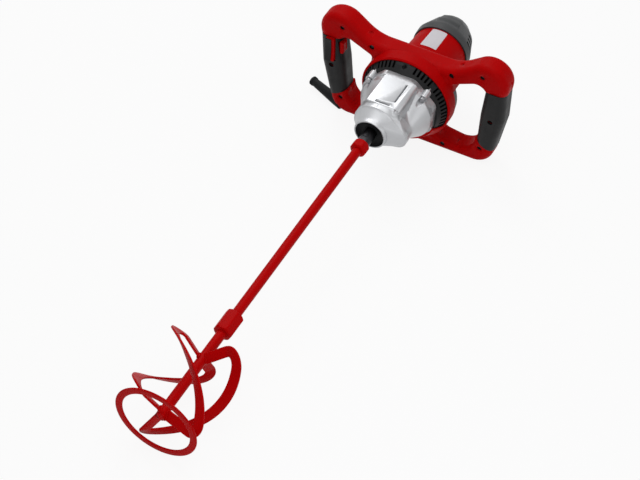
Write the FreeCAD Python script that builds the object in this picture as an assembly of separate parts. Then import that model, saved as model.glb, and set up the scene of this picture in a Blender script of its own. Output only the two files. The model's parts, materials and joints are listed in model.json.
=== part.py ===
import FreeCAD, Part
import math
import os

# Two-handed mixing drill with its stirring paddle.
# While it is built, X runs along the spindle from the nose face (zero) towards the motor,
# +Y towards the grip with the trigger and +Z towards the top of the handle frame.
# The finished pieces are then laid on the floor, resting on the frame's lower bar and the foot ring.

Vector = FreeCAD.Vector
ALONG = Vector(1, 0, 0)
ACROSS = Vector(0, 1, 0)
UPWARD = Vector(0, 0, 1)
ORIGIN = Vector(0, 0, 0)

# Fits
running_clearance = 0.05
seat_clearance = 0.05
moving_gap = 0.5
overrun = 2.0

# Paddle
foot_ring_radius = 60.0
foot_ring_band = 10.0
foot_ring_thick = 2.5
rod_radius = 7.0
stud_radius = 6.0
stud_length = 22.0
upper_rod_length = 378.0
lower_rod_length = 183.0
rod_collar_length = 16.0
rod_collar_flats = 23.0
coupling_length = 36.0
coupling_flats = 24.5
blade_count = 3
blade_width = 14.5
blade_thick = 3.0
blade_rim_radius = 53.8
blade_attach_height = 117.0
blade_top_height = 137.0
blade_foot_height = 18.0
blade_sink_depth = 3.3
blade_top_corner_radius = 15.5
blade_low_corner_radius = 8.5
blade_twist = 155.0
blade_first_angle = 147.0

# Spindle
spindle_reach = 21.5
spindle_radius = 9.5
spindle_flats = 16.0
spindle_flat_length = 9.0
spindle_gear_radius = 11.0
spindle_rear_radius = 7.5

# Gears
pressure_angle = 25.0
addendum_share = 0.8
dedendum_share = 1.05
backlash = 0.16
motor_module = 1.25
motor_pinion_teeth = 9
idler_gear_teeth = 40
output_module = 1.5
idler_pinion_teeth = 10
output_gear_teeth = 30
output_gear_front = 36.0
output_gear_width = 14.0
idler_gear_front = 76.0
idler_gear_width = 10.0
pinion_overlap = 2.0
web_share = 0.8

# Shafts and bearings
motor_offset = 23.6
idler_shaft_radius = 5.0
idler_end_radius = 4.0
armature_shaft_radius = 6.0
armature_end_radius = 5.0
spindle_bearing_radius = 21.0
spindle_bearing_width = 12.0
seal_width = 3.0
seal_wall = 1.2
seal_lip = 0.8
nose_recess = 7.0
rear_spindle_bearing_radius = 16.0
rear_spindle_bearing_width = 10.0
idler_bearing_radius = 11.0
idler_bearing_width = 7.0
armature_bearing_radius = 16.0
armature_bearing_width = 10.0
end_bearing_radius = 15.0
end_bearing_width = 9.0
bearing_groove = 0.8
bearing_lip = 4.5

# Gear case
nose_radius = 25.0
nose_bore_radius = 22.5
nose_length = 6.0
nose_edge = 1.0
shoulder_front = 21.0
shoulder_length = 9.0
shoulder_radius = 35.5
shoulder_lip = 1.2
lobe_radius = 19.0
lobe_across = 30.0
lobe_drop = 9.0
flare_front = 40.0
flare_back = 80.0
flare_inset = 0.6
case_back = 98.0
case_flange_length = 9.0
case_flange_corners = ((22.0, -68.0), (55.0, -46.5), (58.5, 0.5), (24.5, 36.2))
case_flange_round = 14.0
case_body_radius = 51.0
case_body_across = 5.0
case_side_radius = 50.0
case_side_across = 9.0
case_body_drop = 16.0
case_cavity_radius = 28.0
pinion_cavity_radius = 12.5
idler_cavity_radius = 27.0
motor_cavity_radius = 20.0
pad_left = 21.0
pad_right = 33.0
pad_top = 36.5
pad_base = 2.0
pad_edge = 1.5
pad_roll_radius = 9.0
pad_groove_front = 42.0
pad_groove_right = 19.5
pad_groove_width = 3.5
pad_groove_depth = 6.0
pad_slot_front = 31.5
pad_slot_width = 5.5
pad_slot_left = 8.0
pad_slot_right = 15.0
lug_circle_radius = 61.5
lug_radius = 6.0
lug_length = 15.0
lug_arm = 16.0
lug_arm_half_width = 5.0
lug_angles = (45.0, 135.0, 270.0)
case_screw_radius = 2.4
case_screw_head = 4.2
case_screw_head_length = 4.0
gear_plate_front = 58.0
gear_plate_width = 12.0

# Vent ring and bearing plate
plate_radius = 50.0
plate_width = 6.0
plate_boss_length = 8.0
plate_boss_wall = 3.0
vent_front_radius = 60.0
vent_radius = 68.8
vent_wall = 5.0
vent_rim_front = 114.0
vent_back = 128.0
slot_count = 60
slot_width = 3.4
slot_front = 104.5
slot_back = 114.5
plain_half_angle = 11.0
plain_low_from = 203.0
plain_low_to = 337.0
pad_hole_radius = 3.2
pad_hole_depth = 6.0
pad_hole_along = 109.0
fan_front = 108.0
fan_width = 15.0
fan_radius = 46.0
fan_plate = 2.0
fan_hub_radius = 10.0
fan_blades = 11

# Motor housing and rear cap
housing_flange_radius = 66.0
housing_flange_length = 11.0
housing_front_radius = 46.5
housing_cone_end = 166.0
housing_rear_radius = 42.0
housing_back = 231.0
housing_bore = 39.0
housing_wall = 3.5
housing_end_wall = 5.0
end_boss_wall = 3.0
cap_front = 229.0
cap_lip_radius = 44.8
cap_belly_radius = 45.4
cap_belly = 241.0
cap_shoulder = 270.0
cap_shoulder_radius = 34.5
cap_crown = 285.0
cap_crown_radius = 23.0
cap_back = 291.5
cap_back_radius = 13.5
cap_wall = 2.5
cap_hump_height = 2.2
cap_hump_front = 249.0
cap_hump_back = 283.0
cap_hump_ramp = 7.0
cap_hump_first_angle = 68.0
cap_hump_last_angle = 118.0
cap_slot_width = 4.0
cap_slot_pitch = 9.0
cap_slot_rows = 3
cap_slot_half_angle = 32.0
cap_slot_floor = 31.4
cap_screw_count = 3
cap_screw_circle_radius = 26.0
cap_screw_seat = 271.0
cap_post_radius = 5.0
cap_screw_radius = 2.0
cap_screw_head = 3.6
cap_screw_head_length = 3.0

# Motor inside
core_front = 156.0
core_length = 44.0
stator_bore = 23.6
armature_radius = 22.6
armature_slots = 12
armature_slot_width = 2.6
armature_slot_depth = 6.0
coil_inner_radius = 26.0
coil_outer_radius = 35.0
coil_angle = 84.0
coil_overhang = 6.0
winding_radius = 19.0
winding_length = 8.0
commutator_radius = 14.0
commutator_length = 14.0
brush_width = 7.0
brush_length = 14.0
brush_height = 9.0
brush_gap = 0.4
holder_wall = 1.5
holder_length = 20.0

# Handle frame
frame_front = 130.0
frame_depth = 36.0
frame_split = 18.0
frame_edge = 11.0
loop_edge = 7.0
bulb_across = 119.5
bulb_height = 39.0
bulb_radius = 33.0
dip_across = 47.0
dip_height = 97.0
dip_slack = 2.85
heel_across = 105.0
heel_drop = 90.5
heel_radius = 30.5
hub_radius = 69.5
collar_radius = 72.5
collar_front = 114.0
collar_back = 134.0
collar_edge = 2.0
shroud_front = 94.0
shroud_front_radius = 60.5
shroud_inner_radius = 42.0
shroud_first_angle = 204.0
shroud_last_angle = 336.0
loop_top_across = 105.0
loop_top_height = 18.0
loop_top_radius = 14.5
loop_low_across = 77.5
loop_low_drop = 75.0
loop_low_radius = 29.0
loop_heel_across = 56.0
loop_heel_drop = 89.0
loop_heel_radius = 12.0
loop_throat_across = 72.0
loop_throat_height = 12.5
loop_throat_radius = 5.5
side_panel_radius = 69.5
side_panel_round = 146.0
side_panel_back = 164.0
side_panel_back_radius = 57.0
side_panel_high_angle = 27.0
side_panel_low_angle = -50.0

# Screws of the handle frame, as places across and above the spindle
beam_screw_across = 65.0
beam_screw_drop = 6.0
screw_places = ((113.5, 52.0), (116.5, -89.0), (56.0, -108.0), (131.0, -27.0))
screw_radius = 2.0
screw_head_radius = 3.6
screw_head_length = 3.0
screw_sink = 6.0
screw_length = 24.0

# Grips
grip_front = 128.5
grip_depth = 39.0
grip_edge = 13.0
grip_top = 28.0
grip_low_inner = -66.0
grip_low_outer = -104.0
grip_inner_limit = 92.0
grip_outer_limit = 165.0
grip_high = (134.5, 30.0, 16.5)
grip_middle = (130.5, -25.0, 19.0)
grip_low = (121.5, -96.0, 14.0)
grip_rubber = 3.5
grip_core_edge = 10.0

# Trigger, lock button and switch
trigger_inner = 124.5
trigger_width = 14.0
trigger_top = 27.0
trigger_bottom = -13.0
trigger_front = 122.5
trigger_back = 139.0
trigger_root_depth = 9.0
trigger_pad = 1.6
trigger_strip_width = 4.5
trigger_curve = 3.0
trigger_travel = 9.0
pivot_along = 142.0
pivot_height = 21.0
pivot_radius = 2.0
pivot_reach = 2.5
button_front = 132.5
button_width = 14.0
button_bottom = -1.0
button_height = 21.0
button_inner = 112.5
button_slot_width = 3.0
button_slot_depth = 2.0
button_edge_radius = 3.0
button_travel = 3.0
switch_front = 152.0
switch_depth = 9.0
switch_width = 13.0
switch_bottom = -14.0
switch_height = 34.0

# Strain relief sleeve
sleeve_along = 137.5
sleeve_across = 118.0
sleeve_drop = 110.9
sleeve_turn = 22.0
sleeve_root = 14.0
sleeve_length = 69.0
sleeve_radius = 8.4
sleeve_tip_radius = 6.4
sleeve_lip_radius = 7.4
sleeve_lip_length = 4.0
sleeve_bore = 4.0

# Places worked out from the sizes above
dip_radius = math.hypot(bulb_across - dip_across, dip_height - bulb_height) - bulb_radius - dip_slack
saddle_height = dip_height - dip_radius
idler_motor_distance = motor_module * (motor_pinion_teeth + idler_gear_teeth) / 2
idler_spindle_distance = output_module * (idler_pinion_teeth + output_gear_teeth) / 2
idler_height = (idler_motor_distance**2 - idler_spindle_distance**2 - motor_offset**2) / (2 * motor_offset)
idler_across = -math.sqrt(idler_spindle_distance**2 - idler_height**2)
SPINDLE = (0.0, 0.0)
MOTOR = (0.0, -motor_offset)
IDLER = (idler_across, idler_height)
frame_back = frame_front + frame_depth
split_plane = frame_front + frame_split
paddle_end = -spindle_reach - upper_rod_length - lower_rod_length
rod_collar_back = -spindle_reach
coupling_back = -spindle_reach - upper_rod_length + coupling_length / 2
plate_back = case_back + plate_width
core_back = core_front + core_length
commutator_front = core_back + winding_length
button_depth = trigger_inner - pivot_reach - 2 * moving_gap - button_travel - button_inner


def cylinder(radius, start, end, centre=SPINDLE):
    """Solid cylinder along X between two places, on an axis given as (across, height)."""
    return Part.makeCylinder(radius, end - start, Vector(start, *centre), ALONG)


def tube(outer, inner, start, end, centre=SPINDLE):
    """Cylinder along X with a bore right through it."""
    return cylinder(outer, start, end, centre).cut(cylinder(inner, start - overrun, end + overrun, centre))


def turned(profile, centre=SPINDLE):
    """Solid of revolution about an axis along X, from (along, radius) points."""
    points = [Vector(along, centre[0], centre[1] + radius) for along, radius in profile]
    face = Part.Face(Part.makePolygon(points + points[:1]))
    return face.revolve(Vector(0, *centre), ALONG, 360)


def block(low, high):
    """Box between two corners."""
    size = Vector(*high) - Vector(*low)
    return Part.makeBox(size.x, size.y, size.z, Vector(*low))


def hexagon(flats, start, end):
    """Hexagonal bar along X with the given width across flats."""
    radius = flats / math.sqrt(3)
    corners = [(radius * math.cos(k * math.pi / 3), radius * math.sin(k * math.pi / 3)) for k in range(6)]
    return prism(polygon(corners), start, end)


def polygon(places):
    """Closed wire through (across, height) places, in the plane of the nose face."""
    points = [Vector(0, *place) for place in places]
    return Part.makePolygon(points + points[:1])


def prism(wire, start, end):
    """Solid of a closed wire in the nose plane, carried along X between two places."""
    face = Part.Face(wire)
    face.translate(ALONG * start)
    return face.extrude(ALONG * (end - start))


def belt(circles):
    """Closed wire of tangent lines and arcs round (across, height, radius) circles, anticlockwise.

    A negative radius makes the outline pass on the inner side of that circle.
    """
    count = len(circles)
    normals = []
    for index in range(count):
        across, height, radius = circles[index]
        next_across, next_height, next_radius = circles[(index + 1) % count]
        step = (next_across - across, next_height - height)
        length = math.hypot(*step)
        cosine = (radius - next_radius) / length
        sine = math.sqrt(1 - cosine**2)
        way = (step[0] / length, step[1] / length)
        normals.append((way[0] * cosine + way[1] * sine, way[1] * cosine - way[0] * sine))
    edges = []
    for index in range(count):
        across, height, radius = circles[index]
        first = math.atan2(normals[index - 1][1], normals[index - 1][0])
        last = math.atan2(normals[index][1], normals[index][0])
        turn = (last - first) % (2 * math.pi)
        if radius < 0:
            turn -= 2 * math.pi

        def at(angle):
            return Vector(0, across + radius * math.cos(angle), height + radius * math.sin(angle))

        edges.append(Part.Arc(at(first), at(first + turn / 2), at(first + turn)).toShape())
        next_across, next_height, next_radius = circles[(index + 1) % count]
        start = at(first + turn)
        end = Vector(0, next_across + next_radius * normals[index][0],
                     next_height + next_radius * normals[index][1])
        edges.append(Part.LineSegment(start, end).toShape())
    return Part.Wire(edges)


def edges_at(shape, along):
    """Edges that lie wholly in the plane at one place along X."""
    return [edge for edge in shape.Edges
            if all(math.isclose(vertex.X, along, abs_tol=seat_clearance) for vertex in edge.Vertexes)
            and math.isclose(edge.CenterOfMass.x, along, abs_tol=seat_clearance)]


def hole_edges(shape, along):
    """Edges of the holes in the flat face at one place along X."""
    edges = []
    for face in shape.Faces:
        if all(math.isclose(vertex.X, along, abs_tol=seat_clearance) for vertex in face.Vertexes):
            for wire in face.Wires:
                if not wire.isSame(face.OuterWire):
                    edges += wire.Edges
    return edges


def mirrored(shape):
    """The same shape on the other side of the middle plane."""
    return shape.mirror(ORIGIN, ACROSS)


def polar(radius, degrees, centre=SPINDLE):
    """Place at a radius and an angle about an axis along X."""
    angle = math.radians(degrees)
    return (centre[0] + radius * math.cos(angle), centre[1] + radius * math.sin(angle))


def direction(start, end):
    """Angle in degrees of the line between two places."""
    return math.degrees(math.atan2(end[1] - start[1], end[0] - start[0]))


def gear(teeth, module, start, end, centre, tooth_angle):
    """Spur gear with involute flanks and a tooth centred on the given angle."""
    pitch = module * teeth / 2
    base = pitch * math.cos(math.radians(pressure_angle))
    tip = pitch + addendum_share * module
    root = pitch - dedendum_share * module
    lowest = max(base, root)

    def involute(radius):
        slope = math.acos(min(base / radius, 1))
        return math.tan(slope) - slope

    def half_angle(radius):
        return math.pi / (2 * teeth) - backlash / (4 * pitch) + involute(pitch) - involute(radius)

    radii = [root] + [lowest + (tip - lowest) * step / 3 for step in range(4)]
    if root >= base:
        radii = radii[1:]
    places = []
    for tooth in range(teeth):
        middle = math.radians(tooth_angle) + tooth * 2 * math.pi / teeth
        flank = [(radius, half_angle(max(radius, lowest))) for radius in radii]
        for radius, angle in flank:
            places.append((centre[0] + radius * math.cos(middle - angle),
                           centre[1] + radius * math.sin(middle - angle)))
        for radius, angle in reversed(flank):
            places.append((centre[0] + radius * math.cos(middle + angle),
                           centre[1] + radius * math.sin(middle + angle)))
    return prism(polygon(places), start, end)


def bearing(outer, shaft, start, width, centre):
    """Shielded ball bearing as one ring, with a shallow groove in each face."""
    inner = shaft + running_clearance
    ring = tube(outer - seat_clearance, inner, start, start + width, centre)
    wall = outer - inner
    groove = tube(outer - wall / 4, inner + wall / 4, start - overrun, start + bearing_groove, centre)
    far_groove = tube(outer - wall / 4, inner + wall / 4, start + width - bearing_groove,
                      start + width + overrun, centre)
    return ring.cut(groove).cut(far_groove)


# Paddle

def foot_ring():
    """Flat ring at the bottom of the paddle."""
    return tube(foot_ring_radius, foot_ring_radius - foot_ring_band, paddle_end, paddle_end + foot_ring_thick)


def upper_rod():
    """Rod with a hex collar and a stud that screws into the spindle."""
    collar = hexagon(rod_collar_flats, rod_collar_back - rod_collar_length, rod_collar_back)
    rod = cylinder(rod_radius, rod_collar_back - upper_rod_length, rod_collar_back)
    stud = cylinder(stud_radius, rod_collar_back, rod_collar_back + stud_length)
    return collar.fuse([rod, stud]).removeSplitter()


def coupling_sleeve():
    """Hex sleeve that joins the two rods."""
    bar = hexagon(coupling_flats, coupling_back - coupling_length, coupling_back)
    return bar.cut(cylinder(rod_radius + seat_clearance, coupling_back - coupling_length - overrun,
                            coupling_back + overrun))


def lower_rod():
    """Rod from the coupling down to the foot ring."""
    return cylinder(rod_radius, paddle_end + blade_foot_height - blade_width / 2,
                    rod_collar_back - upper_rod_length)


def blade_path():
    """Middle line of a blade as (height above the foot ring, radius), with rounded corners."""
    low = foot_ring_thick + blade_width / 2 - blade_sink_depth
    start = rod_radius - blade_thick / 2
    corners = [(blade_attach_height, start), (blade_top_height, blade_rim_radius),
               (low, blade_rim_radius), (blade_foot_height, start)]
    path = [corners[0]]
    rounds = (blade_top_corner_radius, blade_low_corner_radius)
    for before, corner, after, corner_radius in zip(corners, corners[1:], corners[2:], rounds):
        arms = []
        for end in (before, after):
            reach = math.dist(corner, end)
            arms.append([(end[axis] - corner[axis]) / reach for axis in (0, 1)])
        bend = math.acos(arms[0][0] * arms[1][0] + arms[0][1] * arms[1][1])
        reach = corner_radius / math.tan(bend / 2)
        middle = [arms[0][axis] + arms[1][axis] for axis in (0, 1)]
        size = math.hypot(*middle)
        centre = [corner[axis] + middle[axis] / size * corner_radius / math.sin(bend / 2) for axis in (0, 1)]
        first = [corner[axis] + arms[0][axis] * reach - centre[axis] for axis in (0, 1)]
        last = [corner[axis] + arms[1][axis] * reach - centre[axis] for axis in (0, 1)]
        sweep = math.pi - bend
        for step in range(5):
            share = step / 4
            near = math.sin((1 - share) * sweep) / math.sin(sweep)
            far = math.sin(share * sweep) / math.sin(sweep)
            path.append(tuple(centre[axis] + near * first[axis] + far * last[axis] for axis in (0, 1)))
    rim_start = path[5]
    rim_end = path[6]
    rim = [tuple(rim_start[axis] + (rim_end[axis] - rim_start[axis]) * step / 7 for axis in (0, 1))
           for step in range(1, 7)]
    return path[:6] + rim + path[6:] + corners[-1:]


def blade_stations(first_angle):
    """Middles of a blade's cross-sections, each with the direction that its flat side faces.

    The two arms stand straight out from the rod, and the rim between them winds round the spindle.
    """
    path = blade_path()
    heights = [height for height, radius in path]
    top = heights.index(max(heights))
    low = heights.index(min(heights))
    pitch = math.radians(blade_twist) / (heights[top] - heights[low])
    stations = []
    for index, (height, radius) in enumerate(path):
        wound = heights[min(max(index, top), low)]
        angle = math.radians(first_angle) + pitch * (heights[top] - wound)
        outward = Vector(0, math.cos(angle), math.sin(angle))
        around = Vector(0, -math.sin(angle), math.cos(angle))
        facing = (ALONG - around * (blade_rim_radius * pitch)).cross(outward)
        stations.append((ALONG * (paddle_end + height) + outward * radius, facing))
    return stations


def blade(first_angle):
    """C-shaped strip from the rod out to the rim and back, notched where it sits on the foot ring."""
    stations = blade_stations(first_angle)
    wires = []
    for index, (centre, facing) in enumerate(stations):
        before = stations[max(index - 1, 0)][0]
        after = stations[min(index + 1, len(stations) - 1)][0]
        heading = after - before
        side = facing.cross(heading)
        side.normalize()
        flat = heading.cross(side)
        flat.normalize()
        half_side = side * (blade_width / 2)
        half_flat = flat * (blade_thick / 2)
        corners = [centre + half_side + half_flat, centre - half_side + half_flat,
                   centre - half_side - half_flat, centre + half_side - half_flat]
        wires.append(Part.makePolygon(corners + corners[:1]))
    strip = Part.makeLoft(wires, True, True)
    return strip.cut([cylinder(rod_radius, paddle_end, coupling_back), foot_ring()])


# Gear train

def spindle():
    """Output shaft: flats at the nose, a gear seat and a rear journal."""
    seat_back = output_gear_front + output_gear_width
    shaft = turned([(-spindle_reach, 0), (-spindle_reach, spindle_radius),
                    (output_gear_front, spindle_radius), (output_gear_front, spindle_gear_radius),
                    (seat_back, spindle_gear_radius), (gear_plate_front, spindle_rear_radius),
                    (gear_plate_front + gear_plate_width, spindle_rear_radius),
                    (gear_plate_front + gear_plate_width, 0)])
    for side in (1, -1):
        flat = block((-spindle_reach - overrun, -spindle_radius, 0),
                     (-spindle_reach + spindle_flat_length, spindle_radius, spindle_radius))
        flat.translate(Vector(0, 0, spindle_flats / 2))
        flat.rotate(ORIGIN, ALONG, 90 - 90 * side)
        shaft = shaft.cut(flat)
    bore = cylinder(stud_radius + seat_clearance, -spindle_reach - overrun, -spindle_reach + stud_length)
    return shaft.cut(bore)


def output_gear():
    """Large gear on the spindle."""
    end = output_gear_front + output_gear_width
    mesh = direction(IDLER, SPINDLE) + 180 + 180 / output_gear_teeth
    wheel = gear(output_gear_teeth, output_module, output_gear_front, end, SPINDLE, mesh)
    return wheel.cut(cylinder(spindle_gear_radius + seat_clearance, output_gear_front - overrun,
                              end + overrun))


def idler_shaft():
    """Shaft with the second-stage pinion cut into it."""
    pinion_end = output_gear_front + output_gear_width + pinion_overlap
    front = shoulder_front + shoulder_length - idler_bearing_width
    back = case_back - plate_boss_length + idler_bearing_width
    shaft = turned([(front, 0), (front, idler_end_radius),
                    (shoulder_front + shoulder_length, idler_end_radius),
                    (shoulder_front + shoulder_length, idler_shaft_radius),
                    (case_back - plate_boss_length, idler_shaft_radius),
                    (case_back - plate_boss_length, idler_end_radius), (back, idler_end_radius),
                    (back, 0)], IDLER)
    pinion = gear(idler_pinion_teeth, output_module, output_gear_front - pinion_overlap, pinion_end, IDLER,
                  direction(IDLER, SPINDLE))
    return shaft.fuse(pinion)


def idler_gear():
    """First-stage gear pressed on the idler shaft, lightened by a groove in each face."""
    end = idler_gear_front + idler_gear_width
    mesh = direction(MOTOR, IDLER) + 180 + 180 / idler_gear_teeth
    wheel = gear(idler_gear_teeth, motor_module, idler_gear_front, end, IDLER, mesh)
    pitch = motor_module * idler_gear_teeth / 2
    web = tube(pitch * web_share, idler_shaft_radius * 2, idler_gear_front - overrun,
               idler_gear_front + idler_gear_width / 4, IDLER)
    far_web = tube(pitch * web_share, idler_shaft_radius * 2, end - idler_gear_width / 4, end + overrun,
                   IDLER)
    bore = cylinder(idler_shaft_radius + seat_clearance, idler_gear_front - overrun, end + overrun, IDLER)
    return wheel.cut([web, far_web, bore])


def armature_shaft():
    """Motor shaft with the first pinion cut into its front end."""
    front = idler_gear_front - pinion_overlap
    pinion_end = idler_gear_front + idler_gear_width + pinion_overlap
    rear_seat = housing_back
    back = rear_seat + end_bearing_width
    shaft = turned([(pinion_end, 0), (pinion_end, armature_shaft_radius),
                    (rear_seat, armature_shaft_radius), (rear_seat, armature_end_radius),
                    (back, armature_end_radius), (back, 0)], MOTOR)
    pinion = gear(motor_pinion_teeth, motor_module, front, pinion_end, MOTOR, direction(MOTOR, IDLER))
    return shaft.fuse(pinion)


# Gear case

def case_outline(main_radius, main, side_radius, side):
    """Egg-shaped outline round two circles."""
    return belt([(side[0], side[1], side_radius), (main[0], main[1], main_radius)])


def gear_case():
    """Cast gear case, bored for gears and bearings."""
    return case_casting().cut(case_hollows())


def case_casting():
    """Outside of the gear case: nose, flared cover, shoulder, body, flat top pad, flange and screw lugs."""
    shoulder_back = shoulder_front + shoulder_length
    flange_front = case_back - case_flange_length
    lobe = (-lobe_across, -lobe_drop)
    nose = turned([(0, 0), (0, nose_radius - nose_edge), (nose_edge, nose_radius), (nose_length, nose_radius),
                   (nose_length, 0)])
    round_end = case_outline(nose_radius, SPINDLE, nose_radius - nose_edge, (-2 * nose_edge, 0))
    cover = lofted(round_end, nose_length,
                   case_outline(shoulder_radius - shoulder_lip, SPINDLE, lobe_radius - shoulder_lip, lobe),
                   shoulder_front)
    shoulder = prism(case_outline(shoulder_radius, SPINDLE, lobe_radius, lobe), shoulder_front, shoulder_back)
    waist = case_outline(shoulder_radius - flare_inset, SPINDLE, lobe_radius - flare_inset, lobe)
    body = prism(waist, shoulder_back, flare_front)
    wide_end = case_outline(case_body_radius, (case_body_across, -case_body_drop), case_side_radius,
                            (-case_side_across, -case_body_drop))
    flare = lofted(waist, flare_front, wide_end, flare_back)
    bowl = prism(wide_end, flare_back, flange_front)
    return nose.fuse([cover, shoulder, body, flare, bowl, top_pad(), case_flange()] + case_lugs())


def lofted(first, start, last, end):
    """Straight-sided solid between two outlines at two places along X."""
    wires = [first.copy(), last.copy()]
    wires[0].translate(ALONG * start)
    wires[1].translate(ALONG * end)
    return Part.makeLoft(wires, True, True)


def top_pad():
    """Flat pad along the top of the case, with a crisp left side and a well rounded right side."""
    front = shoulder_front + shoulder_length
    back = case_back - case_flange_length
    pad = block((front, -pad_right, pad_base), (back, pad_left, pad_top))
    for across, rounding in ((pad_left, pad_edge), (-pad_right, pad_roll_radius)):
        edges = [edge for edge in pad.Edges if math.isclose(edge.CenterOfMass.z, pad_top)
                 and math.isclose(edge.CenterOfMass.y, across)]
        pad = pad.makeFillet(rounding, edges)
    return pad


def case_flange():
    """Eight-sided rear flange with rounded corners."""
    start = case_back - case_flange_length
    right = [(-across, height) for across, height in reversed(case_flange_corners)]
    plate = prism(polygon(list(case_flange_corners) + right), start, case_back)
    corners = [edge for edge in plate.Edges if math.isclose(edge.Length, case_flange_length)]
    return plate.makeFillet(case_flange_round, corners)


def lug_places():
    """Middles of the screw lugs round the motor axis."""
    return [polar(lug_circle_radius, angle, MOTOR) for angle in lug_angles]


def case_lugs():
    """Round lugs that take the case screws, each with an arm to the flange."""
    lugs = [cylinder(lug_radius, case_back - lug_length, case_back, place) for place in lug_places()]
    for angle in lug_angles:
        ends = [polar(lug_circle_radius - reach, angle, MOTOR) + (lug_arm_half_width,)
                for reach in (0, lug_arm)]
        lugs.append(prism(belt(ends), case_back - case_flange_length, case_back))
    return lugs


def case_hollows():
    """Bores, gear space, screw holes and the recesses of the top pad."""
    shoulder_back = shoulder_front + shoulder_length
    open_back = case_back + overrun
    lug_front = case_back - lug_length
    seat_end = nose_recess + seal_width + spindle_bearing_width
    hollows = [cylinder(nose_bore_radius, -overrun, nose_recess),
               cylinder(spindle_bearing_radius, 0, seat_end),
               cylinder(spindle_bearing_radius - bearing_lip, 0, shoulder_back),
               cylinder(case_cavity_radius, shoulder_back, open_back),
               cylinder(idler_bearing_radius, shoulder_back - idler_bearing_width, open_back, IDLER),
               cylinder(pinion_cavity_radius, shoulder_back, open_back, IDLER),
               cylinder(idler_cavity_radius, idler_gear_front - pinion_overlap / 2, open_back, IDLER),
               cylinder(motor_cavity_radius, idler_gear_front - 3 * pinion_overlap / 2, open_back, MOTOR)]
    for place in lug_places():
        hollows.append(cylinder(case_screw_radius + moving_gap, lug_front - overrun, open_back, place))
        hollows.append(cylinder(case_screw_head + moving_gap, lug_front - lug_length, lug_front, place))
    floor = pad_top - pad_groove_depth
    hollows.append(block((pad_groove_front, -pad_groove_right, floor),
                         (case_back - case_flange_length - pad_groove_depth,
                          -pad_groove_right + pad_groove_width, pad_top + overrun)))
    hollows.append(block((pad_slot_front, -pad_slot_right, floor),
                         (pad_slot_front + pad_slot_width, pad_slot_left, pad_top + overrun)))
    return hollows


def spindle_seal():
    """Rubber cup in the nose, with a plug round the spindle in front of its bearing."""
    shaft = spindle_radius + running_clearance
    outside = nose_bore_radius - seat_clearance
    plug = tube(spindle_bearing_radius - seat_clearance, shaft, nose_recess - seal_wall,
                nose_recess + seal_width)
    floor = tube(outside, shaft, nose_recess - seal_wall, nose_recess)
    wall = tube(outside, outside - seal_wall, seal_lip, nose_recess)
    return plug.fuse([floor, wall]).removeSplitter()


def gear_plate():
    """Plate inside the gear case that carries the rear of the spindle."""
    end = gear_plate_front + gear_plate_width
    plate = cylinder(case_cavity_radius - seat_clearance, gear_plate_front, end)
    pocket = cylinder(rear_spindle_bearing_radius, gear_plate_front - overrun,
                      gear_plate_front + rear_spindle_bearing_width)
    hole = cylinder(spindle_rear_radius + moving_gap, gear_plate_front, end + overrun)
    relief = cylinder(idler_shaft_radius + 2 * moving_gap, gear_plate_front - overrun, end + overrun, IDLER)
    return plate.cut([pocket, hole, relief])


def case_screws():
    """Long screws from the lugs, through the vent ring, into the motor housing."""
    front = case_back - lug_length
    end = vent_back + housing_flange_length / 2
    screws = []
    for place in lug_places():
        head = cylinder(case_screw_head, front - case_screw_head_length, front, place)
        screws.append(head.fuse(cylinder(case_screw_radius, front, end, place)))
    return Part.makeCompound(screws)


# Vent ring, bearing plate and fan

def slot_angles():
    """Angles of the vent slots, leaving the top pad, the screws and the lower side plain."""
    angles = []
    for step in range(slot_count):
        angle = (step + 1 / 2) * 360 / slot_count
        near_top = abs(angle - 90) < plain_half_angle
        near_screw = min(abs(angle - lug) for lug in lug_angles) < plain_half_angle / 2
        low = plain_low_from < angle < plain_low_to
        if not (near_top or near_screw or low):
            angles.append(angle)
    return angles


def vent_ring():
    """Slotted ring between gear case and motor housing, where the cooling air leaves."""
    ring = turned([(case_back, vent_front_radius), (vent_rim_front, vent_radius), (vent_back, vent_radius),
                   (vent_back, vent_radius - 2 * vent_wall), (plate_back, vent_front_radius - vent_wall / 2),
                   (plate_back, plate_radius + seat_clearance),
                   (case_back, plate_radius + seat_clearance)], MOTOR)
    cuts = []
    for angle in slot_angles():
        slot = block((slot_front, -slot_width / 2, vent_front_radius - 2 * vent_wall),
                     (slot_back, slot_width / 2, vent_radius + overrun))
        slot.rotate(ORIGIN, ALONG, angle - 90)
        slot.translate(Vector(0, *MOTOR))
        cuts.append(slot)
    for place in lug_places():
        cuts.append(cylinder(case_screw_radius + moving_gap, case_back - overrun, vent_back + overrun, place))
    hole_floor = Vector(pad_hole_along, MOTOR[0], MOTOR[1] + vent_radius - pad_hole_depth)
    cuts.append(Part.makeCylinder(pad_hole_radius, pad_hole_depth + overrun, hole_floor, UPWARD))
    return ring.cut(cuts)


def bearing_plate():
    """Plate between gear case and motor, with the pockets of two bearings."""
    boss_front = case_back - plate_boss_length
    plate = cylinder(plate_radius, case_back, plate_back, MOTOR)
    idler_boss = cylinder(idler_bearing_radius + plate_boss_wall, boss_front, case_back, IDLER)
    motor_boss = cylinder(armature_bearing_radius + plate_boss_wall, boss_front, case_back, MOTOR)
    idler_pocket = cylinder(idler_bearing_radius, boss_front - overrun, boss_front + idler_bearing_width,
                            IDLER)
    motor_pocket = cylinder(armature_bearing_radius, plate_back - armature_bearing_width,
                            plate_back + overrun, MOTOR)
    shaft_hole = cylinder(armature_shaft_radius + 2 * moving_gap, boss_front - overrun, plate_back, MOTOR)
    return plate.fuse([idler_boss, motor_boss]).cut([idler_pocket, motor_pocket, shaft_hole])


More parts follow.
